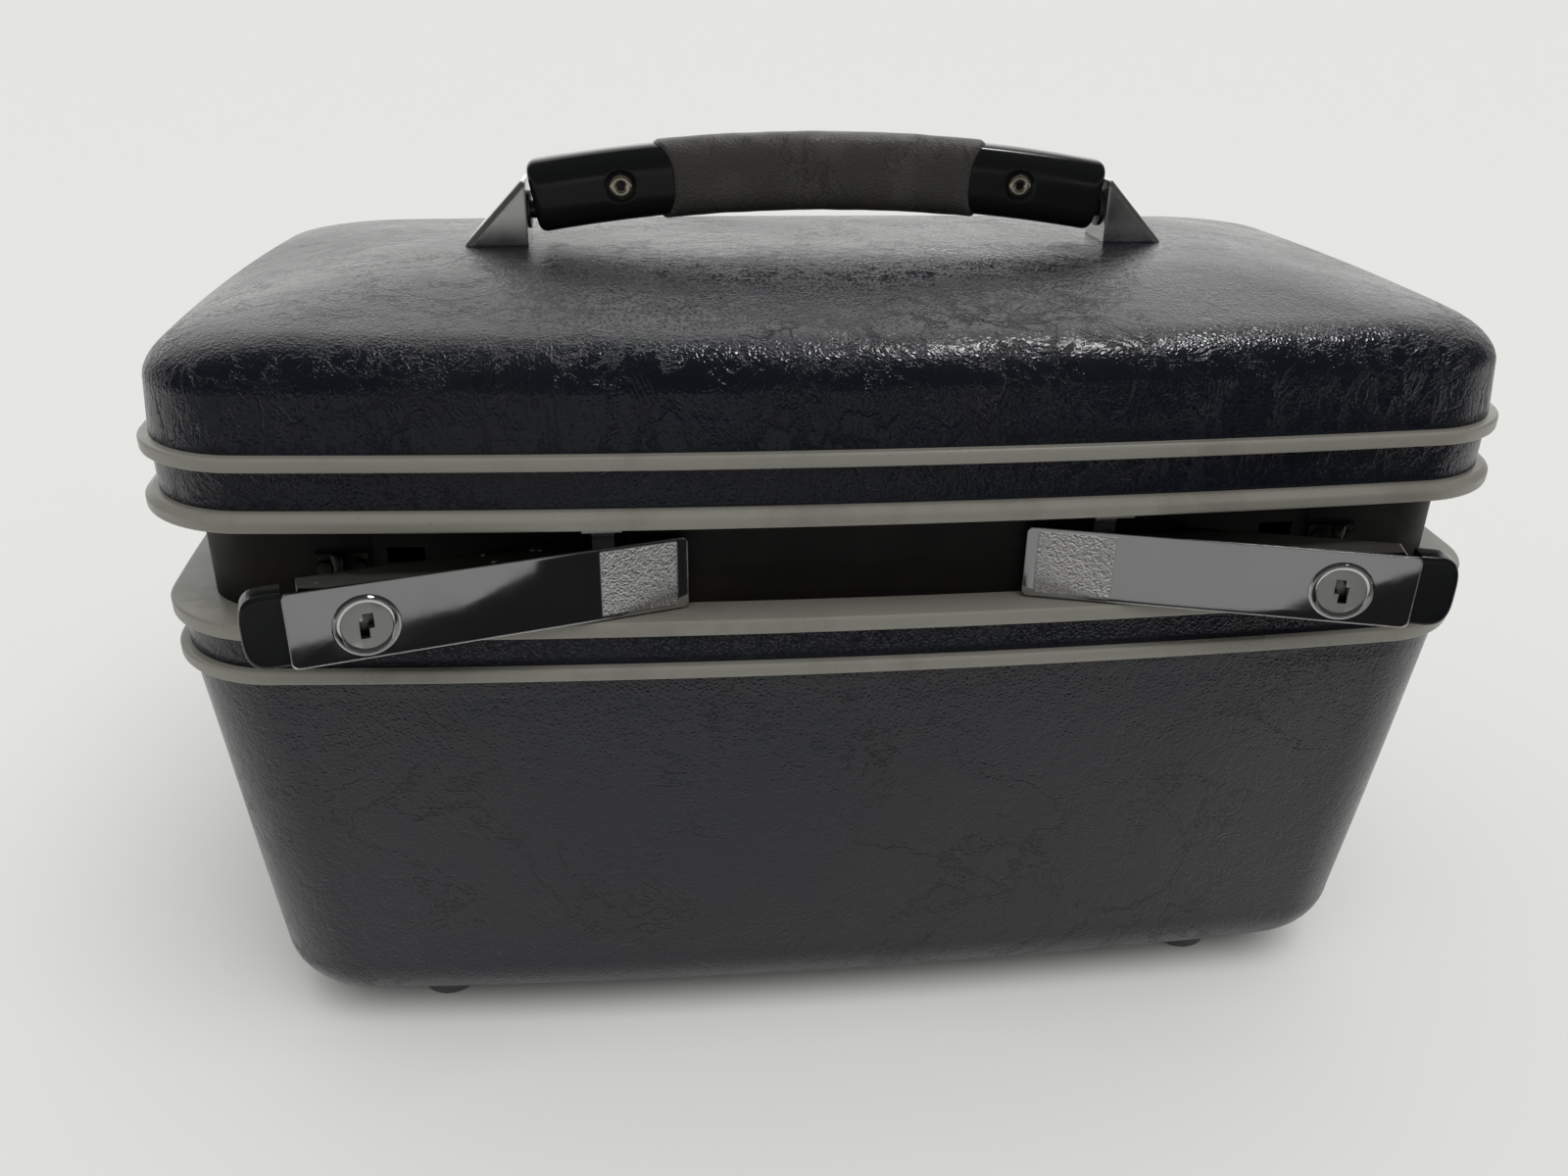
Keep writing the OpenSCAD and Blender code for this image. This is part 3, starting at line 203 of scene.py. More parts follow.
@dataclass(frozen=True)
class GrainedVinyl:
    """Embossed vinyl over a moulded shell: fine pebbles, long creases, wrinkles and a worn gloss."""

    name: str = "grained_vinyl"
    colour: Triple = (0.0030, 0.0041, 0.0086)
    faded: Triple = (0.0062, 0.0067, 0.0085)
    gloss: float = 0.23
    pebble: float = 780.0
    crease: float = 34.0
    wrinkle: float = 105.0
    depth: float = 0.0005

    def build(self) -> bpy.types.Material:
        """Pebbles are warped cells; creases and wrinkles are the zero lines of noises, kept to patches; the
        creases also carry painted shade.
        """
        s = Shader(self.name)
        pebbles = s.ramp(s.cells(self.pebble, s.warped(240, 0.0022)), 0.0, 0.45)
        soft = s.noise(300, 3, roughness=0.6)
        patches = s.ramp(s.noise(15, 3), 0.42, 0.62, 0.1, 1.0)
        crossing = s.stretched((0.8, 1.0, 0.8), (0.2, 0.5, 0))
        creases = s.lines(s.noise(self.crease, 6, crossing, 0.5, 0.68), 0.014)
        leaning = s.stretched((1.0, 1.0, 0.5), (0.25, 0.45, 0.2))
        wrinkles = s.lines(s.noise(self.wrinkle, 5, leaning, 0.6, 0.62), 0.045)
        shoulder = s.times(s.span(2, 0.170, 0.190), s.ramp(s.noise(24, 2), 0.42, 0.55, 0.25, 1.0))
        deep = s.times(creases, patches)
        crown = s.span(2, 0.200, 0.207)
        shoulder = s.maths("SUBTRACT", shoulder, s.times(crown, 0.85), clamp=True)
        shallow = s.times(wrinkles, s.maths("MULTIPLY_ADD", shoulder, 0.9, 0.10))
        relief = s.maths("MULTIPLY_ADD", pebbles, 0.14, s.times(soft, 0.33))
        calm = s.maths("MULTIPLY_ADD", crown, -0.18, 0.30)
        relief = s.maths("SUBTRACT", relief, s.times(deep, calm))
        s.height(s.maths("SUBTRACT", relief, shallow), self.depth)
        dust = s.ramp(s.noise(8, 4, roughness=0.62), 0.42, 0.66)
        tone = s.blend(dust, self.colour, self.faded)
        # Painted shade: the creases are painted darker, towards 0.4 of the base colour
        s.set(base_color=s.blend(s.times(deep, 0.4), tone, tuple(0.4 * c for c in self.colour)))
        wear = s.ramp(s.noise(19, 3), 0.3, 0.7, -0.05, 0.07)
        s.set(roughness=s.plus(s.maths("MULTIPLY_ADD", deep, 0.15, wear), self.gloss))
        return s.material


@dataclass(frozen=True)
class MouldedTrim:
    """Smooth extruded plastic with scuffs and a little grime."""

    name: str
    colour: Triple
    grime: Triple
    gloss: float = 0.31
    scuff: float = 0.35
    shine: float = 0.5

    def build(self) -> bpy.types.Material:
        """Grime gathers in soft patches; scuffs are thin stretched lines."""
        s = Shader(self.name)
        patches = s.ramp(s.noise(26, 5, roughness=0.7), 0.47, 0.72)
        specks = s.ramp(s.noise(900, 2), 0.68, 0.78)
        lines = s.ramp(s.noise(60, 3, s.stretched((1.0, 1.0, 22.0))), 0.62, 0.70)
        stain = s.maths("MAXIMUM", s.times(patches, self.scuff), s.times(specks, 0.5))
        s.set(base_color=s.blend(stain, self.colour, self.grime))
        rough = s.plus(s.ramp(s.noise(45, 3), 0.3, 0.7, -0.06, 0.08), self.gloss)
        s.set(roughness=s.plus(rough, s.times(lines, 0.12)), specular_ior_level=self.shine)
        s.height(s.plus(s.noise(380, 3), s.times(lines, -0.5)), 0.00003)
        return s.material


@dataclass(frozen=True)
class Metal:
    """Plated or bare metal, with fine scratches, pits and a film of use."""

    name: str
    colour: Triple
    gloss: float
    film: float = 0.06
    pits: float = 0.0
    brushed: float = 0.0
    grainy: float = 0.0
    rolled: float = 0.0
    # Reach of the painted shade that darkens recesses, in metres, or 0 for none
    recess_shade: float = 0.0

    def build(self) -> bpy.types.Material:
        """Scratches are stretched noise; pits are cell centres on a dulled top; recesses get painted shade,
        near black.
        """
        s = Shader(self.name)
        smear = s.ramp(s.noise(38, 4, roughness=0.65), 0.35, 0.75)
        rough = s.plus(s.times(smear, self.film), self.gloss)
        relief = s.times(s.noise(170, 2), 0.3)
        tone: object = s.blend(s.times(smear, 0.25), self.colour, tuple(0.82 * c for c in self.colour))
        if self.brushed:
            lines = s.noise(700, 2, s.stretched((0.03, 1.0, 1.0)))
            relief = s.plus(relief, s.times(lines, self.brushed))
        if self.grainy:
            grains = s.noise(2600, 2)
            relief = s.plus(relief, s.times(grains, self.grainy))
            rough = s.plus(rough, s.times(s.noise(1900, 1), 0.12))
        if self.pits:
            spots = s.ramp(s.cells(210, s.warped(500, 0.002), "F1"), 0.10, 0.20, 1.0, 0.0)
            spots = s.times(spots, s.ramp(s.noise(90, 1), 0.50, 0.56))
            spots = s.times(spots, s.span(2, self.pits, self.pits + 0.3 * MM))
            dull = s.times(s.span(2, self.pits + 0.40 * MM, self.pits + 0.55 * MM), 0.8)
            tone = s.blend(spots, s.blend(dull, tone, (0.03, 0.03, 0.03)), (0.55, 0.54, 0.50))
            rough = s.plus(rough, s.times(spots, 0.5))
        # Painted shade: near black where ambient occlusion finds a recess within this reach
        if self.recess_shade:
            tone = s.blend(s.ramp(s.open_to(self.recess_shade), 0.25, 0.62), (0.004, 0.004, 0.004), tone)
        s.set(base_color=tone, metallic=1.0, roughness=rough)
        s.height(relief, 0.000012, rolled=self.rolled)
        return s.material


@dataclass(frozen=True)
class GlossPlastic:
    """Hard black plastic with a polished skin, fine dust and hairline scratches."""

    name: str = "black_gloss"
    colour: Triple = (0.0060, 0.0066, 0.0068)
    gloss: float = 0.13

    def build(self) -> bpy.types.Material:
        """Dust is thresholded fine noise; the skin waves a little."""
        s = Shader(self.name)
        dust = s.ramp(s.noise(1500, 2), 0.70, 0.80, 0.0, 0.35)
        s.set(base_color=s.blend(dust, self.colour, (0.07, 0.07, 0.065)))
        haze = s.ramp(s.noise(50, 4), 0.35, 0.75, 0.0, 0.12)
        s.set(roughness=s.plus(haze, self.gloss), specular_ior_level=0.3)
        s.height(s.noise(110, 2), 0.00012, 0.5)
        return s.material


@dataclass(frozen=True)
class GripLeather:
    """Matte grained sleeve with short creases across the grip."""

    name: str = "grip_leather"
    colour: Triple = (0.0400, 0.0380, 0.0350)

    def build(self) -> bpy.types.Material:
        """Fine pebbles, cut by creases that run across the handle."""
        s = Shader(self.name)
        pebbles = s.ramp(s.cells(900, s.warped(300, 0.0012)), 0.0, 0.35)
        across = s.noise(170, 5, s.stretched((1.0, 0.4, 0.4), (0, 0.5, 0)), 0.9, 0.65)
        creases = s.times(s.lines(across, 0.02), s.ramp(s.noise(60, 3), 0.45, 0.62, 0.1, 0.8))
        cracks = s.times(s.lines(s.noise(300, 5, distortion=1.2), 0.016), s.ramp(s.noise(60, 2), 0.46, 0.6))
        relief = s.maths("SUBTRACT", s.times(pebbles, 0.35), creases)
        s.height(s.plus(relief, s.times(cracks, 0.5)), 0.00022)
        worn = s.ramp(s.noise(70, 3), 0.45, 0.75)
        tone = s.blend(s.times(worn, 0.6), self.colour, (0.066, 0.063, 0.058))
        s.set(base_color=s.blend(s.times(cracks, 0.7), tone, (0.15, 0.14, 0.125)))
        s.set(roughness=s.ramp(s.noise(120, 3), 0.3, 0.7, 0.42, 0.58))
        return s.material


@dataclass(frozen=True)
class SatinLining:
    """Woven satin over thin padding."""

    name: str = "lining_fabric"
    colour: Triple = (0.250, 0.290, 0.370)
    shade: Triple = (0.175, 0.205, 0.275)
    thread: float = 2600.0

    def build(self) -> bpy.types.Material:
        """Threads are two crossed waves; the sheen sits on the shader itself."""
        s = Shader(self.name)
        warp = s.noise(self.thread, 1, s.stretched((1.0, 1.0, 0.12)))
        weft = s.noise(self.thread, 1, s.stretched((0.12, 0.12, 1.0)))
        weave = s.times(warp, weft)
        tone = s.ramp(s.noise(30, 3), 0.35, 0.7)
        s.set(base_color=s.blend(tone, self.colour, self.shade))
        s.set(roughness=s.ramp(weave, 0.15, 0.35, 0.5, 0.62), sheen_weight=0.35, sheen_roughness=0.4,
              sheen_tint=(0.75, 0.82, 1.0, 1.0))
        s.height(weave, 0.00012, 0.7)
        return s.material


@dataclass(frozen=True)
class SilveredGlass:
    """A mirror with faint haze and dust."""

    name: str = "mirror_glass"

    def build(self) -> bpy.types.Material:
        """Haze is soft noise in the roughness."""
        s = Shader(self.name)
        s.set(base_color=(0.86, 0.88, 0.88, 1.0), metallic=1.0)
        s.set(roughness=s.ramp(s.noise(35, 4), 0.45, 0.75, 0.015, 0.09))
        s.height(s.noise(12, 1), 0.00004, 0.4)
        return s.material


class Finish(Enum):
    """Every finish on the case, made once and shared."""

    VINYL = GrainedVinyl()
    TRIM = MouldedTrim("grey_trim", (0.190, 0.185, 0.160), (0.085, 0.078, 0.062))
    FRAME = MouldedTrim("black_frame", (0.0046, 0.0040, 0.0034), (0.012, 0.010, 0.008), 0.55, 0.6, 0.22)
    GLIDE = MouldedTrim("foot_rubber", (0.050, 0.051, 0.053), (0.075, 0.072, 0.068), 0.5, 0.5)
    CHROME = Metal("polished_chrome", (0.60, 0.60, 0.60), 0.035, 0.05, 157.9 * MM, rolled=0.6 * MM)
    BRACKET = Metal("bracket_chrome", (0.72, 0.72, 0.71), 0.13, 0.12, rolled=0.9 * MM)
    # Satin metal is darkened in its recesses by painted shade
    SATIN = Metal("satin_metal", (0.60, 0.59, 0.57), 0.30, 0.08, grainy=1.6, recess_shade=3 * MM)
    HAMMERED = Metal("hammered_chrome", (0.66, 0.65, 0.64), 0.18, 0.06, grainy=9.0)
    PLATED = Metal("plated_steel", (0.52, 0.52, 0.51), 0.26, 0.10, brushed=0.8)
    DULL = Metal("dull_steel", (0.20, 0.20, 0.20), 0.38, 0.12, brushed=0.6)
    DARK = Metal("dark_steel", (0.035, 0.033, 0.030), 0.34, 0.14, brushed=0.6)
    # The brass eyelets are darkened in their bores by painted shade
    BRASS = Metal("eyelet_brass", (0.66, 0.60, 0.47), 0.20, 0.10, recess_shade=2.5 * MM)
    GLOSS = GlossPlastic()
    GRIP = GripLeather()
    LINING = SatinLining()
    MIRROR = SilveredGlass()

    @property
    def material(self) -> bpy.types.Material:
        """The finish's material, built on first use."""
        return bpy.data.materials.get(f"finish_{self.value.name}") or self.value.build()


# -------------------- mesh building


def link(name: str, data: bpy.types.ID) -> bpy.types.Object:
    """Puts a new object with this data into the scene."""
    obj = bpy.data.objects.new(name, data)
    bpy.context.scene.collection.objects.link(obj)
    return obj


def piece(name: str, points: Array, faces: Faces, finish: Finish, body: str, node: str = "",
          slot: str = "", sharp: float = 35.0) -> bpy.types.Object:
    """Makes a mesh object, hangs it on its body and hides the solid that it replaces.

    Args:
        name: the piece's name.
        points: an array of shape (count, 3), in metres.
        faces: lists of point numbers, anticlockwise from outside.
        finish: the piece's finish.
        body: the body that it rides.
        node: the solid that it replaces, if any.
        slot: not used.
        sharp: edges that turn by more than this many degrees stay sharp.

    Returns:
        The new object.
    """
    mesh = bpy.data.meshes.new(name)
    mesh.from_pydata(np.asarray(points, float).reshape(-1, 3) + (0, CENTRE_Y, 0), [], faces)
    mesh.polygons.foreach_set("use_smooth", np.ones(len(mesh.polygons), bool))
    mesh.set_sharp_from_angle(angle=math.radians(sharp))
    mesh.materials.append(finish.material)
    mesh.update()
    obj = link(name, mesh)
    LOG.info("%s: %d points, %d faces", name, len(mesh.vertices), len(mesh.polygons))
    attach(obj, body)
    if node:
        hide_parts(node)
    return obj


def grid_faces(rows: int, columns: int, first: int = 0, wrap_rows: bool = False,
               wrap_columns: bool = True) -> Faces:
    """Quads of a grid of points that is numbered row by row.

    Args:
        rows: number of rows.
        columns: number of points in a row.
        first: number of the first point.
        wrap_rows: whether the last row joins the first.
        wrap_columns: whether the last column joins the first.

    Returns:
        The quads, facing outwards where rows go up and columns run anticlockwise.
    """
    i = np.arange(rows if wrap_rows else rows - 1)[:, None]
    j = np.arange(columns if wrap_columns else columns - 1)[None, :]
    up, side = (i + 1) % rows, (j + 1) % columns
    quads = np.stack([i * columns + j, i * columns + side, up * columns + side, up * columns + j], -1)
    return (quads.reshape(-1, 4) + first).tolist()


def capped_faces(rows: int, columns: int, first: int = 0, flip: bool = False) -> Faces:
    """Faces of a grid that is closed round its columns and has a flat end on its first and last row.

    Args:
        rows: number of rows.
        columns: number of points in a row.
        first: number of the first point.
        flip: whether they face the other way, for rows that go down or columns that run clockwise.

    Returns:
        The quads and both ends.
    """
    low, high = (list(range(start, start + columns)) for start in (first, first + (rows - 1) * columns))
    faces = [*grid_faces(rows, columns, first), low[::-1], high]
    return [f[::-1] for f in faces] if flip else faces


def dress(node: str, finish: Finish, edge: float = 0.0) -> None:
    """Gives a solid its finish, and rounds its edges.

    Args:
        node: the solid's name.
        finish: its finish.
        edge: width of the rounding, in metres, or 0 for none.
    """
    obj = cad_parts[node]
    obj.data.materials.clear()
    obj.data.materials.append(finish.material)
    obj.data.polygons.foreach_set("use_smooth", np.ones(len(obj.data.polygons), bool))
    weld = obj.modifiers.new("weld", "WELD")
    weld.merge_threshold = 2e-6
    if edge:
        bevel = obj.modifiers.new("edge", "BEVEL")
        bevel.width = edge
        bevel.segments = 2
        bevel.limit_method = "ANGLE"
        bevel.angle_limit = math.radians(38)
        normals = obj.modifiers.new("normals", "WEIGHTED_NORMAL")
        normals.weight = 60
        normals.keep_sharp = False
    else:
        split = obj.modifiers.new("split", "EDGE_SPLIT")
        split.split_angle = math.radians(32)


# -------------------- the case's outline


@dataclass(frozen=True)
class Outline:
    """The plan outline of the case: a rounded rectangle with bowed sides."""

    width: float = 343.0 * MM
    depth: float = 190.5 * MM
    corner: float = 26.0 * MM
    side_bow: float = 7.3 * MM
    end_bow: float = 4.3 * MM
    corner_steps: int = 18
    side_steps: int = 96
    end_steps: int = 52

    def ring(self, inset_x: float, inset_y: float, corner: float) -> Array:
        """One closed line round the case.

        A point goes round a rounded rectangle; then each side is pulled in towards its ends by
        its bow times the squared share of the way from the middle.

        Args:
            inset_x: how far the ends lie inside the outline.
            inset_y: how far the front and back lie inside it.
            corner: corner radius of this line.

        Returns:
            Points of shape (count, 2), anticlockwise from the right-hand end.
        """
        half = np.array([self.width / 2 - inset_x, self.depth / 2 - inset_y])
        points = []
        signs = np.array([(1, 1), (-1, 1), (-1, -1), (1, -1)])
        for quarter, (sign, following) in enumerate(zip(signs, np.roll(signs, -1, 0))):
            centre = sign * (half - corner)
            angle = np.radians(90 * quarter + np.linspace(0, 90, self.corner_steps + 1))
            arc = centre + corner * np.stack([np.cos(angle), np.sin(angle)], 1)
            start = following * (half - corner) + arc[-1] - centre
            steps = self.side_steps if quarter % 2 == 0 else self.end_steps
            share = np.linspace(0, 1, steps + 1)[1:-1, None]
            points += [arc, arc[-1] + (start - arc[-1]) * share]
        p = np.concatenate(points)
        bow_y = self.side_bow * 2 * half[1] / self.depth
        bow_x = self.end_bow * 2 * half[0] / self.width
        reach = np.minimum(1, np.abs(p) / half)
        x = p[:, 0] - np.sign(p[:, 0]) * bow_x * (p[:, 1] / half[1]) ** 2 * reach[:, 0]
        y = p[:, 1] - np.sign(p[:, 1]) * bow_y * (p[:, 0] / half[0]) ** 2 * reach[:, 1]
        return np.stack([x, y], 1)

    def level(self, inset_x: float, inset_y: float, z: float, corner: float) -> Array:
        """A ring at a height, as points of shape (count, 3)."""
        flat = self.ring(inset_x, inset_y, corner)
        return np.column_stack([flat, np.full(len(flat), z)])

    def even(self, inset: float, z: float) -> Array:
        """A ring with one inset all round, parallel to the outline."""
        return self.level(inset, inset, z, self.corner - inset)

    def band(self, profile: Array) -> tuple[Array, Faces]:
        """Points and faces of a closed ring whose section is pairs of inset and height, up its outer side."""
        levels = np.array([self.even(inset, z) for inset, z in profile])
        return levels.reshape(-1, 3), grid_faces(*levels.shape[:2], wrap_rows=True)


def rounded_profile(corners: Sequence[Triple], steps: int = 5) -> Array:
    """Rounds the corners of a closed section.

    Each corner becomes a quadratic curve between the points that lie its radius before and after it.

    Args:
        corners: inset, height and radius of each corner, in millimetres.
        steps: points on each rounded corner, less one.

    Returns:
        Pairs of inset and height, in metres.
    """
    data = np.array(corners, float) * MM
    place, radius = data[:, :2], data[:, 2]
    result = []
    for i in range(len(place)):
        here, before, after = place[i], place[i - 1], place[(i + 1) % len(place)]
        if radius[i] <= 0:
            result.append(here[None])
            continue
        a = here + (before - here) * radius[i] / np.linalg.norm(before - here)
        b = here + (after - here) * radius[i] / np.linalg.norm(after - here)
        t = np.linspace(0, 1, steps + 1)[:, None]
        result.append((1 - t) ** 2 * a + 2 * t * (1 - t) * here + t ** 2 * b)
    return np.concatenate(result)


@dataclass(frozen=True)
class Heights:
    """Heights of the seams above the ground, in metres."""

    floor: float = 7.0 * MM
    band: float = 123.8 * MM
    strip: float = 127.2 * MM
    rim: float = 135.4 * MM
    ledge: float = 139.5 * MM
    lid: float = 163.3 * MM
    lid_strip: float = 167.8 * MM
    upper: float = 177.6 * MM
    upper_top: float = 181.1 * MM
    shoulder: float = 193.3 * MM
    crown: float = 205.9 * MM
    top: float = 211.4 * MM


OUTLINE = Outline()
Z = Heights()


# -------------------- shells


@dataclass
class Shells:
    """The two grained shells and what lines them."""

    proud: float = 2.5 * MM
    wall: float = 2.0 * MM
    lining: float = 1.2 * MM
    end_draft: float = 0.067
    side_draft: float = 0.112
    bottom_radius: float = 19.4 * MM
    foot_corner: float = 22.0 * MM
    lid_draft: float = 0.074
    shoulder_run: float = 20.0 * MM
    shoulder_rise: float = 12.6 * MM
    crown_run: float = 50.0 * MM
    shoulder_turn: float = math.radians(75.7)
    crown_start: float = 0.27
    least_corner: float = 8.0 * MM
    crown_ease: float = 0.1
    rows: int = 58
    unevenness: float = 0.16 * MM
    wave_lengths: tuple[float, ...] = (0.11, 0.075, 0.052, 0.037)
    quilt_pitch: float = 34.0 * MM
    quilt_puff: float = 1.1 * MM
    seed: int = 7

    def body_levels(self, t: float, top: float, rows: int) -> Array:
        """Rings of the body at depth t under its skin, from the rim down to the flat floor.

        The sides lean in by their draft; then a quarter circle turns them into the floor.
        """
        fillet = Z.floor + self.bottom_radius
        levels = [OUTLINE.even(self.proud + t, z) for z in np.linspace(top, Z.band, 6)]
        for z in np.linspace(Z.band, fillet, rows)[1:]:
            share = (Z.band - z) / (Z.band - fillet)
            drop = Z.band - z
            corner = OUTLINE.corner - self.proud - t
            corner += (self.foot_corner - t - corner) * share
            levels.append(OUTLINE.level(self.proud + t + self.end_draft * drop,
                                        self.proud + t + self.side_draft * drop, z, corner))
        drop = Z.band - fillet
        for a in np.linspace(0, math.pi / 2, 15)[1:]:
            run = (self.bottom_radius - t) * (1 - math.cos(a))
            levels.append(OUTLINE.level(
                self.proud + self.end_draft * drop + t + run,
                self.proud + self.side_draft * drop + t + run,
                fillet - (self.bottom_radius - t) * math.sin(a),
                self.foot_corner - t - 0.6 * run))
        return np.array(levels)

    def lid_levels(self, t: float, base: float) -> Array:
        """Rings of the lid at depth t under its skin, from its lower edge up to the flat crown.

        An upright wall leans in to the shoulder and a quarter ellipse turns it over. Its last part
        is left out, with the first part of the parabola that rises to the crown, so that one slope
        leads from one to the other.
        """
        lean = self.proud + self.lid_draft * (Z.shoulder - Z.upper_top)

        def corner(inset: float) -> float:
            """The corner radius at an inset."""
            eased = OUTLINE.corner - self.proud - self.crown_ease * (inset - self.proud)
            return max(self.least_corner, eased)

        levels = [OUTLINE.even(self.proud + t, z) for z in np.linspace(base, Z.upper_top, 8)]
        for z in np.linspace(Z.upper_top, Z.shoulder, 7)[1:]:
            inset = self.proud + t + self.lid_draft * (z - Z.upper_top)
            levels.append(OUTLINE.level(inset, inset, z, corner(inset) - t))
        for a in np.linspace(0, self.shoulder_turn, 20)[1:]:
            inset = lean + self.shoulder_run - (self.shoulder_run - t) * math.cos(a)
            z = Z.shoulder + (self.shoulder_rise - t) * math.sin(a)
            levels.append(OUTLINE.level(inset, inset, z, corner(inset) - t * math.cos(a)))
        for u in np.linspace(self.crown_start, 1, 22):
            inset = lean + self.shoulder_run + self.crown_run * u
            z = Z.crown - t + (Z.top - Z.crown) * (1 - (1 - u) ** 2)
            levels.append(OUTLINE.level(inset, inset, z, corner(inset)))
        return np.array(levels)

    @staticmethod
    def cup(outer: Array, inner: Array, downwards: bool) -> tuple[Array, Faces]:
        """A cup between an outer and an inner skin, both given from the rim to the closed end.

        Returns:
            Points and faces, with flat ends.
        """
        levels = np.concatenate([outer[::-1], inner]) if downwards else np.concatenate([inner[::-1], outer])
        return levels.reshape(-1, 3), capped_faces(*levels.shape[:2])

    def uneven(self, levels: Array) -> Array:
        """Waves of a hand-covered shell: a sum of a few long sines moves each point along its plan normal.

        Args:
            levels: rings of shape (rows, columns, 3).

        Returns:
            The moved rings.
        """
        rng = np.random.default_rng(self.seed)
        ahead = np.roll(levels, -1, 1) - np.roll(levels, 1, 1)
        normal = np.stack([ahead[..., 1], -ahead[..., 0], np.zeros(levels.shape[:2])], -1)
        normal /= np.maximum(np.linalg.norm(normal, axis=-1, keepdims=True), 1e-9)
        wave = np.zeros(levels.shape[:2])
        for length in self.wave_lengths:
            direction = rng.normal(size=3)
            direction *= 2 * math.pi / length / np.linalg.norm(direction)
            wave += np.sin(levels @ direction + rng.uniform(0, 2 * math.pi))
        edge = np.clip((levels[..., 2] - Z.floor) / (8 * MM), 0, 1)
        return levels + normal * (wave * edge * self.unevenness / 2)[..., None]

    def build(self) -> None:
        """Makes the body shell, the lid shell and both linings."""
        plain = self.body_levels(0, Z.rim, self.rows)
        outer = self.uneven(plain)
        outer[:8] = plain[:8]
        inner = self.body_levels(self.wall, Z.rim, 12)
        piece("body_skin", *self.cup(outer, inner, True), Finish.VINYL, "body", "body_shell")
        outer, inner = (self.lid_levels(depth, Z.lid + self.wall) for depth in (0, self.wall))
        piece("lid_skin", *self.cup(outer, inner, False), Finish.VINYL, "lid", "lid_shell")
        self.build_linings()

    def build_linings(self) -> None:
        """Makes the padded lining of the body and dresses the lid's."""
        under, over = self.wall, self.wall + self.lining
        outer, inner = (self.body_levels(depth, Z.rim, self.rows) for depth in (under, over))
        cloth = self.cup(outer, self.quilted(inner), True)
        piece("body_lining_cloth", *cloth, Finish.LINING, "body", "body_lining")
        dress("lid_lining", Finish.LINING)

    def quilted(self, levels: Array) -> Array:
        """Presses a diamond quilt into the lining.

        The padding sinks along two families of slanted lines, by the sixteenth power of a cosine. It
        fades out above the floor and below the band.

        Args:
            levels: rings of shape (rows, columns, 3), from the rim down.

        Returns:
            The rings, pushed out from the middle along the stitched lines.
        """
        step = np.linalg.norm(np.diff(levels, axis=1, append=levels[:, :1]), axis=-1)
        around = np.cumsum(step, axis=1) - step[:, :1]
        around *= (round(around[0, -1] / self.quilt_pitch) * self.quilt_pitch) / around[:, -1:]
        height = levels[..., 2]
        lines = [np.cos(math.pi * (around + sign * height) / self.quilt_pitch) ** 2 for sign in (1, -1)]
        puff = np.minimum(1 - lines[0] ** 8, 1 - lines[1] ** 8)
        fade = np.clip((height - Z.floor - 30 * MM) / (15 * MM), 0, 1)
        fade *= np.clip((Z.band - height) / (10 * MM), 0, 1)
        centre = levels.copy()
        centre[..., :2] = 0
        inward = centre - levels
        inward /= np.linalg.norm(inward, axis=-1, keepdims=True)
        return levels + inward * (puff * fade * self.quilt_puff)[..., None]


@dataclass
class Trim:
    """The grey bands, the two rims and the black channel between them."""

    proud: float = 2.5
    channel: float = 10.5
    lid_rim_proud: float = 0.8
    bands: dict[str, tuple[str, str]] = field(default_factory=lambda: {
        "body_lower_band": ("body", "lower_bead"),
        "body_rim": ("body", "body_rim_moulding"),
        "lid_rim": ("lid", "lid_rim_moulding"),
        "lid_upper_band": ("lid", "upper_bead"),
    })

    def bead(self, low: float, high: float) -> list[Triple]:
        """Section of a plain band between two heights in metres."""
        low, high = low / MM, high / MM
        return [(self.proud, low, 0), (0.02, low, 0.7), (0.0, high, 1.0), (self.proud, high, 0)]

    def section(self, node: str) -> list[Triple]:
        """The section of a band or rim, as inset, height and corner radius in millimetres."""
        if node == "body_lower_band":
            return self.bead(Z.band, Z.strip)
        if node == "lid_upper_band":
            return self.bead(Z.upper, Z.upper_top)
        if node == "body_rim":
            low, high = Z.rim / MM, Z.ledge / MM
            return [(self.channel, low, 0), (0.05, low, 0.8), (0.0, high, 0.9), (self.channel, high, 0)]
        low, high, back = Z.lid / MM, Z.lid_strip / MM, (Z.lid + 2 * MM) / MM
        out, inner = -self.lid_rim_proud, self.channel + 0.5
        return [(inner, low, 0.3), (out + 0.1, low, 0.9), (out, high - 1.5, 0.6), (0.9, high, 0.7),
                (self.proud, high, 0), (self.proud, back, 0), (inner, back, 0.3)]

    def build(self) -> None:
        """Makes each band as a smooth ring in place of its solid."""
        for node, (body, name) in self.bands.items():
            ring = OUTLINE.band(rounded_profile(self.section(node)))
            piece(name, *ring, Finish.TRIM, body, node, sharp=40)
        dress("channel_frame", Finish.FRAME)


# -------------------- carrying handle


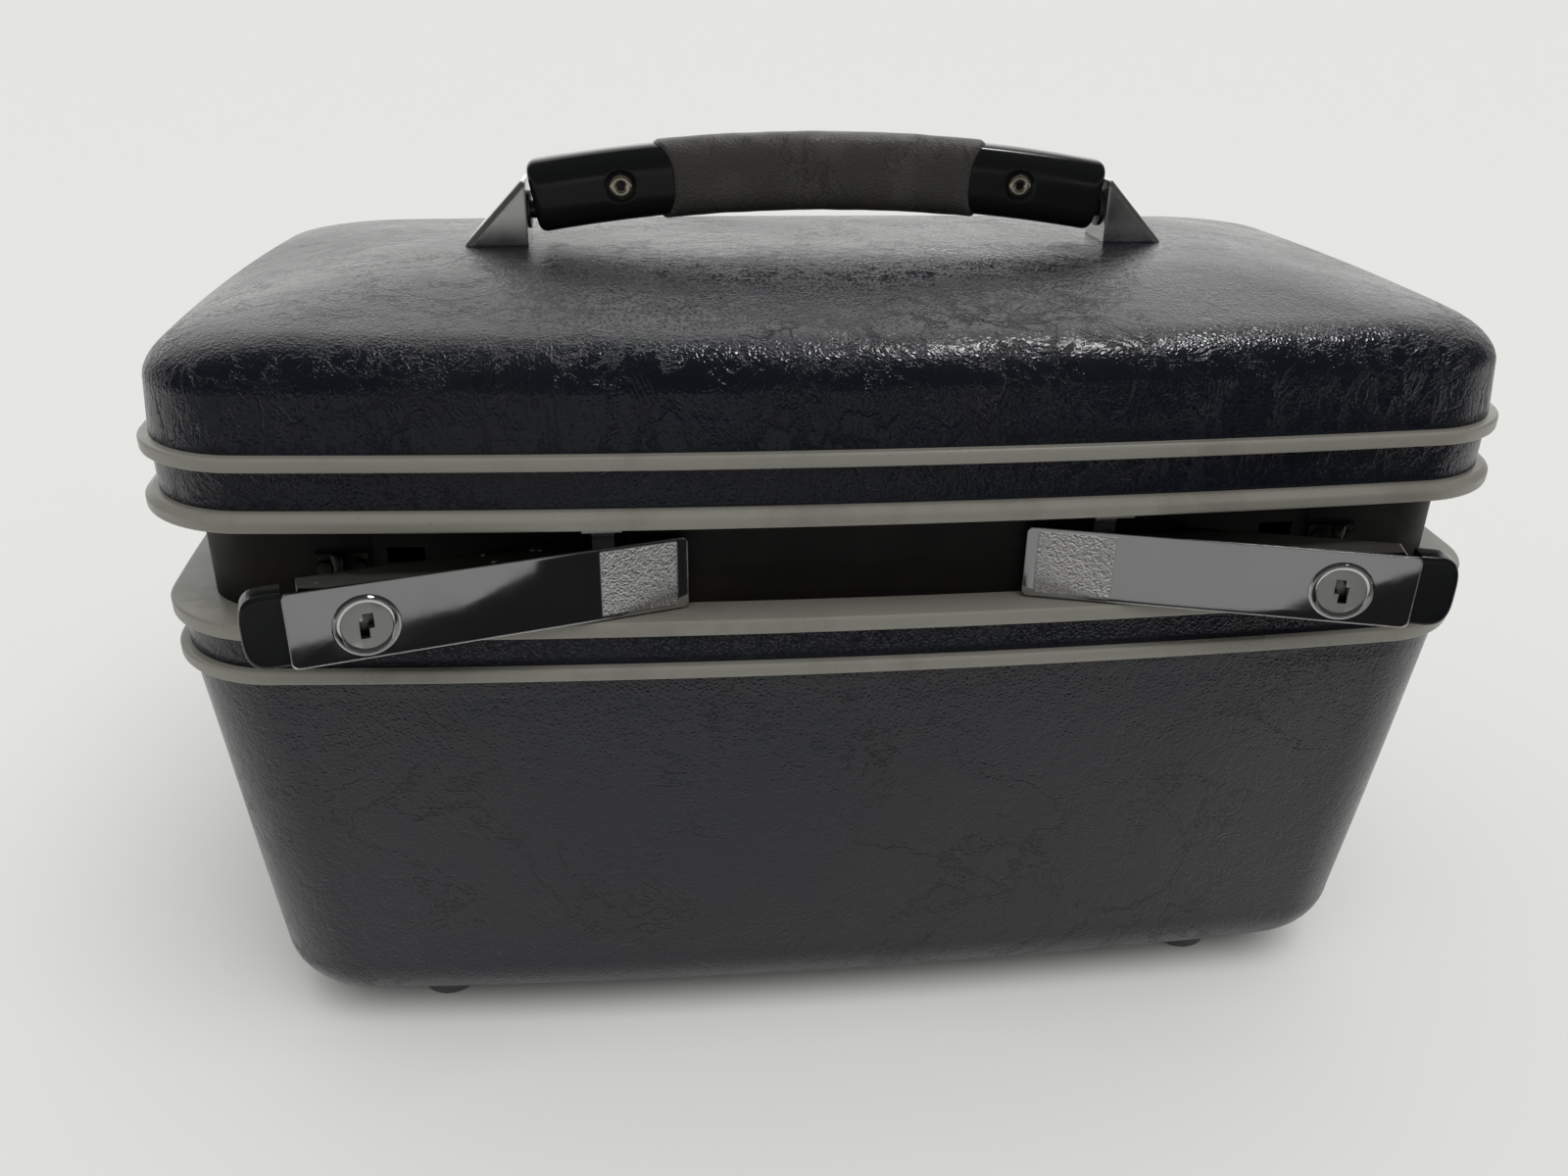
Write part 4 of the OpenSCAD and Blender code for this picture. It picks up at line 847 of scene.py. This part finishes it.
@dataclass
class Handle:
    """The arched grip, its glossy ends and what they turn on."""

    lid_top: float = 211.4 * MM
    rise: float = 18.8 * MM
    arch: float = 470.0 * MM
    height: float = 20.4 * MM
    depth: float = 15.8 * MM
    step: float = 0.7 * MM
    sleeve_half: float = 45.0 * MM
    tongue: float = 9.2 * MM
    tuck: float = 1.5 * MM
    end_half: float = 78.9 * MM
    end_round: float = 2.2 * MM
    eyelet: float = 55.0 * MM
    dish: float = 3.9 * MM
    dish_depth: float = 0.75 * MM
    hem: float = 0.8 * MM
    hem_drop: float = 0.55 * MM
    waviness: float = 0.025 * MM
    # Radii of a tubular rivet: its bore, its tube and its heads
    rivet: Triple = (1.0 * MM, 1.9 * MM, 3.1 * MM)

    def section(self, grow: float, angle: Array) -> tuple[Array, Array]:
        """A rounded rectangle as radii over an angle, by a superellipse of power 3.4.

        Args:
            grow: how much each half side changes, in metres.
            angle: angles round the section, from its top.

        Returns:
            Offsets along the arch's radius and along Y.
        """
        power = 2 / 3.4
        c, s = np.cos(angle), np.sin(angle)
        up = np.sign(c) * np.abs(c) ** power * (self.height / 2 + grow)
        side = np.sign(s) * np.abs(s) ** power * (self.depth / 2 + grow)
        return up, side

    def place(self, along: Array, up: Array, side: Array) -> Array:
        """Wraps a bar round the arch: along is the distance from the middle, measured in X."""
        phi = np.arcsin(along / self.arch)
        radius = self.arch + up
        x = radius * np.sin(phi)
        z = self.lid_top + self.rise - self.arch + radius * np.cos(phi)
        return np.stack([x, np.broadcast_to(side, x.shape), z], -1)

    def tongue_edge(self, across: Array) -> Array:
        """Distance of the sleeve's end from the middle: in plan, an arc of the tongue's radius."""
        return self.sleeve_half - self.tongue + np.sqrt(self.tongue ** 2 - across ** 2)

    def sleeve(self) -> None:
        """The grip: each end is a tongue on top and below, and its edge is rolled."""
        angle = np.linspace(0, 2 * math.pi, 97)[:-1][None]
        share = np.linspace(-1, 1, 101)[:, None]
        reach = self.tongue_edge(self.section(0.0, angle)[1])
        edge = np.clip((1 - np.abs(share)) * self.sleeve_half / self.hem, 0, 1)
        roll = -self.hem_drop * (1 - np.sqrt(1 - (1 - edge) ** 2))
        rng = np.random.default_rng(3)
        wave = sum(np.sin(share * rng.uniform(9, 34) + angle * k + rng.uniform(0, 6)) for k in (1, 2, 3, 5))
        up, side = self.section(0.0, angle)
        size = np.hypot(up, side)
        swell = 1 + (roll + self.waviness * wave * edge) / size
        points = self.place(share * reach, up * swell, side * swell)
        faces = capped_faces(*points.shape[:2], flip=True)
        piece("grip_cover", points, faces, Finish.GRIP, "handle", "grip_sleeve")

    def end(self, side: Side) -> None:
        """A glossy end: a bar rounded over at its outer end, with a dish round each tubular rivet."""
        angle = np.linspace(0, 2 * math.pi, 193)[:-1][None]
        up, across = self.section(-self.step, angle)
        start = self.tongue_edge(across) - self.tuck
        straight = start + (self.end_half - self.end_round - start) * np.linspace(0, 1, 96)[:, None]
        turn = np.linspace(0, math.pi / 2, 8)[1:, None]
        along = np.concatenate([straight, straight[-1] + self.end_round * np.sin(turn)])
        shrink = np.concatenate([np.zeros((96, 1)), self.end_round * (1 - np.cos(turn))])
        size = np.hypot(up, across)
        scale = 1 - shrink / size
        far = np.hypot(along - self.eyelet, up)
        sunk = np.clip((self.dish + 0.5 * MM - far) / (0.9 * MM), 0, 1)
        sunk = sunk * sunk * (3 - 2 * sunk)
        face = self.depth / 2 - self.step
        across = across * scale
        across = across - np.sign(across) * np.where(np.abs(across) > 0.6 * face, sunk * self.dish_depth, 0)
        points = self.place(along, up * scale, across)
        points[..., 0] *= side.value
        faces = capped_faces(*points.shape[:2], flip=side is Side.RIGHT)
        piece(f"grip_end_{side.word}", points, faces, Finish.GLOSS, "handle", f"handle_end_{side.word}")

    def rivets(self) -> None:
        """Both tubular rivets: a tube turned round Y, whose ends flare out into rolled heads."""
        turn = np.linspace(math.pi, 0, 14)
        bore, tube, head = self.rivet
        middle, half = (head + bore) / 2, (head - bore) / 2
        radius = np.concatenate([middle + half * np.cos(turn), [head, tube]])
        reach = self.depth / 2 - self.step
        across = np.concatenate([reach - 0.2 * MM + 0.6 * MM * np.sin(turn), [reach - 0.5 * MM] * 2])
        radius = np.concatenate([radius, radius[::-1]])[:, None]
        across = np.concatenate([across, -across[::-1]])[:, None]
        angle = np.linspace(0, 2 * math.pi, 49)[:-1]
        points, faces = [], []
        for side in Side:
            x, z = self.place(np.array(side.value * self.eyelet), 0, 0)[[0, 2]]
            faces += grid_faces(len(radius), 48, len(points) * radius.size * 48, True)
            ring = [x + radius * np.cos(angle), across + 0 * angle, z + radius * np.sin(angle)]
            points.append(np.stack(ring, -1))
        piece("tubular_rivets", np.array(points), faces, Finish.BRASS, "handle", "handle_eyelets", sharp=50)

    def build(self) -> None:
        """Makes the handle and dresses its brackets."""
        self.sleeve()
        self.rivets()
        for side in Side:
            self.end(side)
            dress(f"handle_bracket_{side.word}", Finish.BRACKET, 0.45 * MM)
            dress(f"handle_pin_{side.word}", Finish.DULL, 0.2 * MM)
        dress("handle_core", Finish.DULL)


# -------------------- latches


@dataclass
class Latches:
    """The two swing latches with their locks, hammered panels and release buttons."""

    pivot: Pair = (66.9 * MM, -89.239 * MM)
    pivot_run: float = 25.0 * MM
    pivot_depth: float = 5.6 * MM
    open_angle: float = math.radians(16.2)
    panel: Pair = (3.0 * MM, 21.2 * MM)
    heights: Pair = (141.2 * MM, 157.4 * MM)
    sunk: float = 0.25 * MM
    seed: int = 11
    dents: int = 1500
    dent_depth: float = 0.18 * MM
    dent_radius: float = 0.36 * MM
    tuck: float = 0.02 * MM
    cap_power: float = 0.62
    cap_run: Triple = (90.9 * MM, 93.5 * MM, 100.2 * MM)
    cap_depth: Pair = (1.1 * MM, 7.9 * MM)
    cap_roll: float = 1.1 * MM
    cap_half: float = 8.9 * MM
    cap_middle: float = 149.3 * MM
    # Each solid that is dressed on both sides, with its finish and the width of its rounded edges
    dressed: tuple[tuple[str, Finish, float], ...] = (
        ("lever_cover", Finish.CHROME, 0.45 * MM), ("lever_frame", Finish.DULL, 0.12 * MM),
        ("lock_ring", Finish.CHROME, 0.12 * MM), ("lock_plug", Finish.SATIN, 0.1 * MM),
        ("latch_base", Finish.DARK, 0.12 * MM), ("latch_pin", Finish.PLATED, 0.12 * MM),
        ("catch", Finish.DARK, 0.12 * MM), ("hasp", Finish.PLATED, 0.12 * MM))
    slide_depth: Pair = (5.3 * MM, 7.6 * MM)
    # Outline of the slide and its nose, as run and height in millimetres
    nose: tuple[Pair, ...] = (
        (77.1, 142.0), (91.9, 142.0), (91.9, 145.2), (78.9, 145.2), (78.9, 155.9), (77.1, 155.9))

    def on_lever(self, run: Array, depth: Array, height: Array, side: Side) -> Array:
        """Points of the open lever.

        Args:
            run: distance along the lever from its inner end.
            depth: distance behind its face.
            height: height above the ground.
            side: which lever.

        Returns:
            The points, turned about the latch's pivot by the angle at which it stands open.
        """
        along, back = run - self.pivot_run, depth - self.pivot_depth
        c, s = math.cos(self.open_angle), math.sin(self.open_angle)
        x = side.value * (self.pivot[0] + along * c + back * s)
        return np.stack([x, self.pivot[1] - along * s + back * c, np.broadcast_to(height, x.shape)], -1)

    def hammered(self, side: Side) -> None:
        """The hammered panel: scattered dents, each as deep as its middle is near, meeting in ridges."""
        rng = np.random.default_rng(self.seed + side.value)
        run = np.linspace(*self.panel, 120)
        height = np.linspace(*self.heights, 106)
        grid = np.stack(np.meshgrid(run, height, indexing="ij"), -1)
        middles = rng.uniform((run[0], height[0]), (run[-1], height[-1]), (self.dents, 2))
        far = np.hypot(grid[:, :, None, 0] - middles[:, 0], grid[:, :, None, 1] - middles[:, 1]).min(-1)
        depth = self.sunk - self.tuck - self.dent_depth * np.clip(far / self.dent_radius, 0, 1)
        depth = np.pad(depth, 1, constant_values=self.sunk + self.tuck)
        grid = np.pad(grid, ((1, 1), (1, 1), (0, 0)), mode="edge")
        points = self.on_lever(grid[..., 0], depth, grid[..., 1], side)
        faces = grid_faces(*depth.shape, wrap_columns=False)
        number = np.arange(depth.size).reshape(depth.shape)
        border = [*number[:-1, 0], *number[-1, :-1], *number[:0:-1, -1], *number[0, :0:-1]]
        faces.append(list(map(int, border)))
        if side is Side.LEFT:
            faces = [f[::-1] for f in faces]
        name, body = f"hammered_panel_{side.word}", f"lever_{side.word}"
        piece(name, points, faces, Finish.HAMMERED, body, slot="polished_chrome", sharp=60)

    def slab(self, grid: Array, side: Side, first: int = 0) -> tuple[Array, Faces]:
        """A closed solid through outlines that lie one behind the other.

        Args:
            grid: outlines of shape (rows, columns, 3) as run, depth and height, anticlockwise from the front.
            side: which lever.
            first: number of its first point.

        Returns:
            Points and faces.
        """
        faces = capped_faces(*grid.shape[:2], first, side is Side.RIGHT)
        return self.on_lever(*np.moveaxis(grid, -1, 0), side).reshape(-1, 3), faces

    def button(self, side: Side) -> None:
        """The release button: a rolled cap with a superelliptic outline, on a slide with a nose."""
        turn = np.radians(np.linspace(-90, 90, 61))
        roll = np.linspace(0, math.pi / 2, 8)
        inset = self.cap_roll * np.append(1.2, 1 - np.sin(roll))
        near = self.cap_depth[0] + self.cap_roll * np.append(0, 1 - np.cos(roll))
        inset = np.append(inset, inset[::-1])[:, None]
        depth = np.append(near, sum(self.cap_depth) - near[::-1])[:, None]
        begin, bend, end = self.cap_run
        run = bend + (end - bend - inset) * np.cos(turn).clip(0) ** self.cap_power
        run = np.pad(run, ((0, 0), (1, 1)), constant_values=begin)
        up = np.sign(turn) * np.abs(np.sin(turn)) ** self.cap_power
        height = self.cap_middle + (self.cap_half - inset) * up
        height = np.pad(height, ((0, 0), (1, 1)), mode="edge")
        cap, cap_faces = self.slab(np.stack(np.broadcast_arrays(run, depth, height), -1), side)
        slide = np.stack([np.insert(np.array(self.nose) * MM, 1, d, 1) for d in self.slide_depth])
        slide, slide_faces = self.slab(slide, side, len(cap))
        points, faces = np.concatenate([cap, slide]), cap_faces + slide_faces
        name, body, node = (f"{part}_{side.word}" for part in ("button_cap", "button", "release_button"))
        piece(name, points, faces, Finish.GLOSS, body, node, sharp=50)

    def build(self) -> None:
        """Makes the panels and buttons, and dresses each latch."""
        for side in Side:
            self.hammered(side)
            self.button(side)
            for node, finish, edge in self.dressed:
                dress(f"{node}_{side.word}", finish, edge)
        dress("catch_rivets", Finish.DARK, 0.12 * MM)


@dataclass
class Hardware:
    """Hinges, stay, feet and mirror."""

    def build(self) -> None:
        """Dresses the solids that keep their own shape."""
        for side in Side:
            for node in ("hinge_leaf_body", "hinge_leaf_lid", "hinge_pin"):
                dress(f"{node}_{side.word}", Finish.PLATED, 0.15 * MM)
        for node in ("hinge_rivets_body", "hinge_rivets_lid", "stay_stud", "stay_bracket", "stay_arm"):
            dress(node, Finish.PLATED, 0.12 * MM)
        dress("feet", Finish.GLIDE, 0.3 * MM)
        dress("foot_rivets", Finish.DULL, 0.2 * MM)
        dress("mirror_frame", Finish.SATIN, 0.4 * MM)
        dress("mirror", Finish.MIRROR)


# -------------------- studio


@dataclass(frozen=True)
class Studio:
    """Camera, lamps, floor and backdrop."""

    eye: Triple = (-0.0494, CENTRE_Y - 0.3673, 0.2781)
    yaw: float = 6.365
    pitch: float = -25.454
    roll: float = 0.846
    focal: float = 29.38
    sensor: float = 36.0
    pale: Triple = (0.80, 0.80, 0.785)
    ambient: float = 0.54
    horizon: float = 0.785
    dim: float = 0.06
    bright: float = 1.2
    bright_side: Triple = (0.0, 0.95, 0.15)
    highlight: float = 0.9
    soft: float = 1.60
    pane: tuple[Pair, ...] = (
        (-4.0, -4.0), (0.5, -4.0), (0.30, -0.70), (0.15, -0.50), (0.10, -0.44), (0.075, -0.40),
        (0.03, -0.385), (-0.05, -0.392), (-4.0, -0.385))

    def camera(self) -> None:
        """Sets the camera by its place and its three angles."""
        yaw, pitch, roll = (math.radians(a) for a in (self.yaw, self.pitch, self.roll))
        ahead = Vector((math.sin(yaw) * math.cos(pitch), math.cos(yaw) * math.cos(pitch), math.sin(pitch)))
        right = Vector((math.cos(yaw), -math.sin(yaw), 0))
        up = right.cross(ahead)
        tilted = right * math.cos(roll) + up * math.sin(roll)
        above = up * math.cos(roll) - right * math.sin(roll)
        data = bpy.data.cameras.new("camera")
        data.lens = self.focal
        data.sensor_width = self.sensor
        data.clip_start, data.clip_end = 0.01, 50
        obj = link("camera", data)
        turned = Matrix((tilted, above, -ahead)).transposed().to_4x4()
        obj.matrix_world = Matrix.Translation(self.eye) @ turned
        bpy.context.scene.camera = obj

    @staticmethod
    def lamp(name: str, towards: Sequence[float], energy: float, spread: float) -> bpy.types.Object:
        """Adds a distant soft light.

        Args:
            name: the light's name.
            towards: direction from the case to the light.
            energy: its irradiance.
            spread: how wide it looks, in degrees.

        Returns:
            The new object.
        """
        data = bpy.data.lights.new(name, "SUN")
        data.energy = energy
        data.angle = math.radians(spread)
        obj = link(name, data)
        obj.rotation_euler = Vector(towards).to_track_quat("Z", "Y").to_euler()
        return obj

    @staticmethod
    def sheet(name: str, corners: Sequence[Sequence[float]], colour: Triple) -> bpy.types.Object:
        """A flat piece of the set in one matt colour.

        Args:
            name: the sheet's name.
            corners: its corners, anticlockwise from above.
            colour: its colour.

        Returns:
            The new object.
        """
        s = Shader(name)
        s.set(base_color=(*colour, 1.0), roughness=0.9, specular_ior_level=0.1)
        mesh = bpy.data.meshes.new(name)
        mesh.from_pydata(corners, [], [range(len(corners))])
        mesh.materials.append(s.material)
        obj = link(name, mesh)
        return obj

    def floor(self) -> None:
        """A pale floor that reaches the horizon, so that it is the background too."""
        self.sheet("floor", [(x * 90, y * 90, 0) for x, y in ((-1, -1), (1, -1), (1, 1), (-1, 1))], self.pale)

    def sky(self) -> None:
        """An even pale surrounding, which reflections see dim in front and bright overhead and behind."""
        world = bpy.data.worlds.new("studio")
        world.use_nodes = True
        g = Graph(world.node_tree)
        inputs = {0: g.add("TexCoord", {}).outputs["Generated"], 1: self.bright_side}
        facing = g.add("VectorMath", inputs, operation="DOT_PRODUCT").outputs["Value"]
        level = g.ramp(facing, 0.35, 0.80, self.dim, self.bright)
        ray = g.add("LightPath", {}).outputs
        lit = g.add("Mix", {"Factor": ray["Is Glossy Ray"], "A": self.ambient, "B": level})
        inputs = {"Factor": ray["Is Camera Ray"], "A": lit.outputs["Result"], "B": self.horizon}
        seen = g.add("Mix", inputs).outputs["Result"]
        background = g.nodes["Background"].inputs
        background["Color"].default_value = (1.0, 1.0, 0.98, 1.0)
        g.put(background["Strength"], seen)
        bpy.context.scene.world = world

    def cards(self) -> None:
        """A dark and a grey card in front, which only reflections see: they shape the polished faces."""
        dark = [(-4, -4), (4, -4), (4, -0.27), (-4, -0.27)]
        cards = (("dark_card", dark, 0.012, 1 * MM), ("grey_card", self.pane, 0.30, 2 * MM))
        for name, corners, shade, lift in cards:
            obj = self.sheet(name, [(x, y + CENTRE_Y, lift) for x, y in corners], (shade,) * 3)
            obj.visible_camera = obj.visible_diffuse = obj.visible_shadow = False

    def build(self) -> None:
        """Sets up the whole studio."""
        self.camera()
        self.floor()
        self.cards()
        self.sky()
        self.lamp("highlight", (0.30, 0.22, 0.93), self.highlight, 12).visible_diffuse = False
        self.lamp("soft", (0.15, -0.42, 0.90), self.soft, 50).visible_glossy = False
        bpy.context.scene.view_settings.view_transform = "Standard"


def main() -> None:
    """Builds the studio and every sub-assembly."""
    logging.basicConfig(level=logging.INFO, format="%(name)s %(message)s")
    Studio().build()
    Shells().build()
    Trim().build()
    Handle().build()
    Latches().build()
    Hardware().build()


if __name__ == "__main__":
    main()
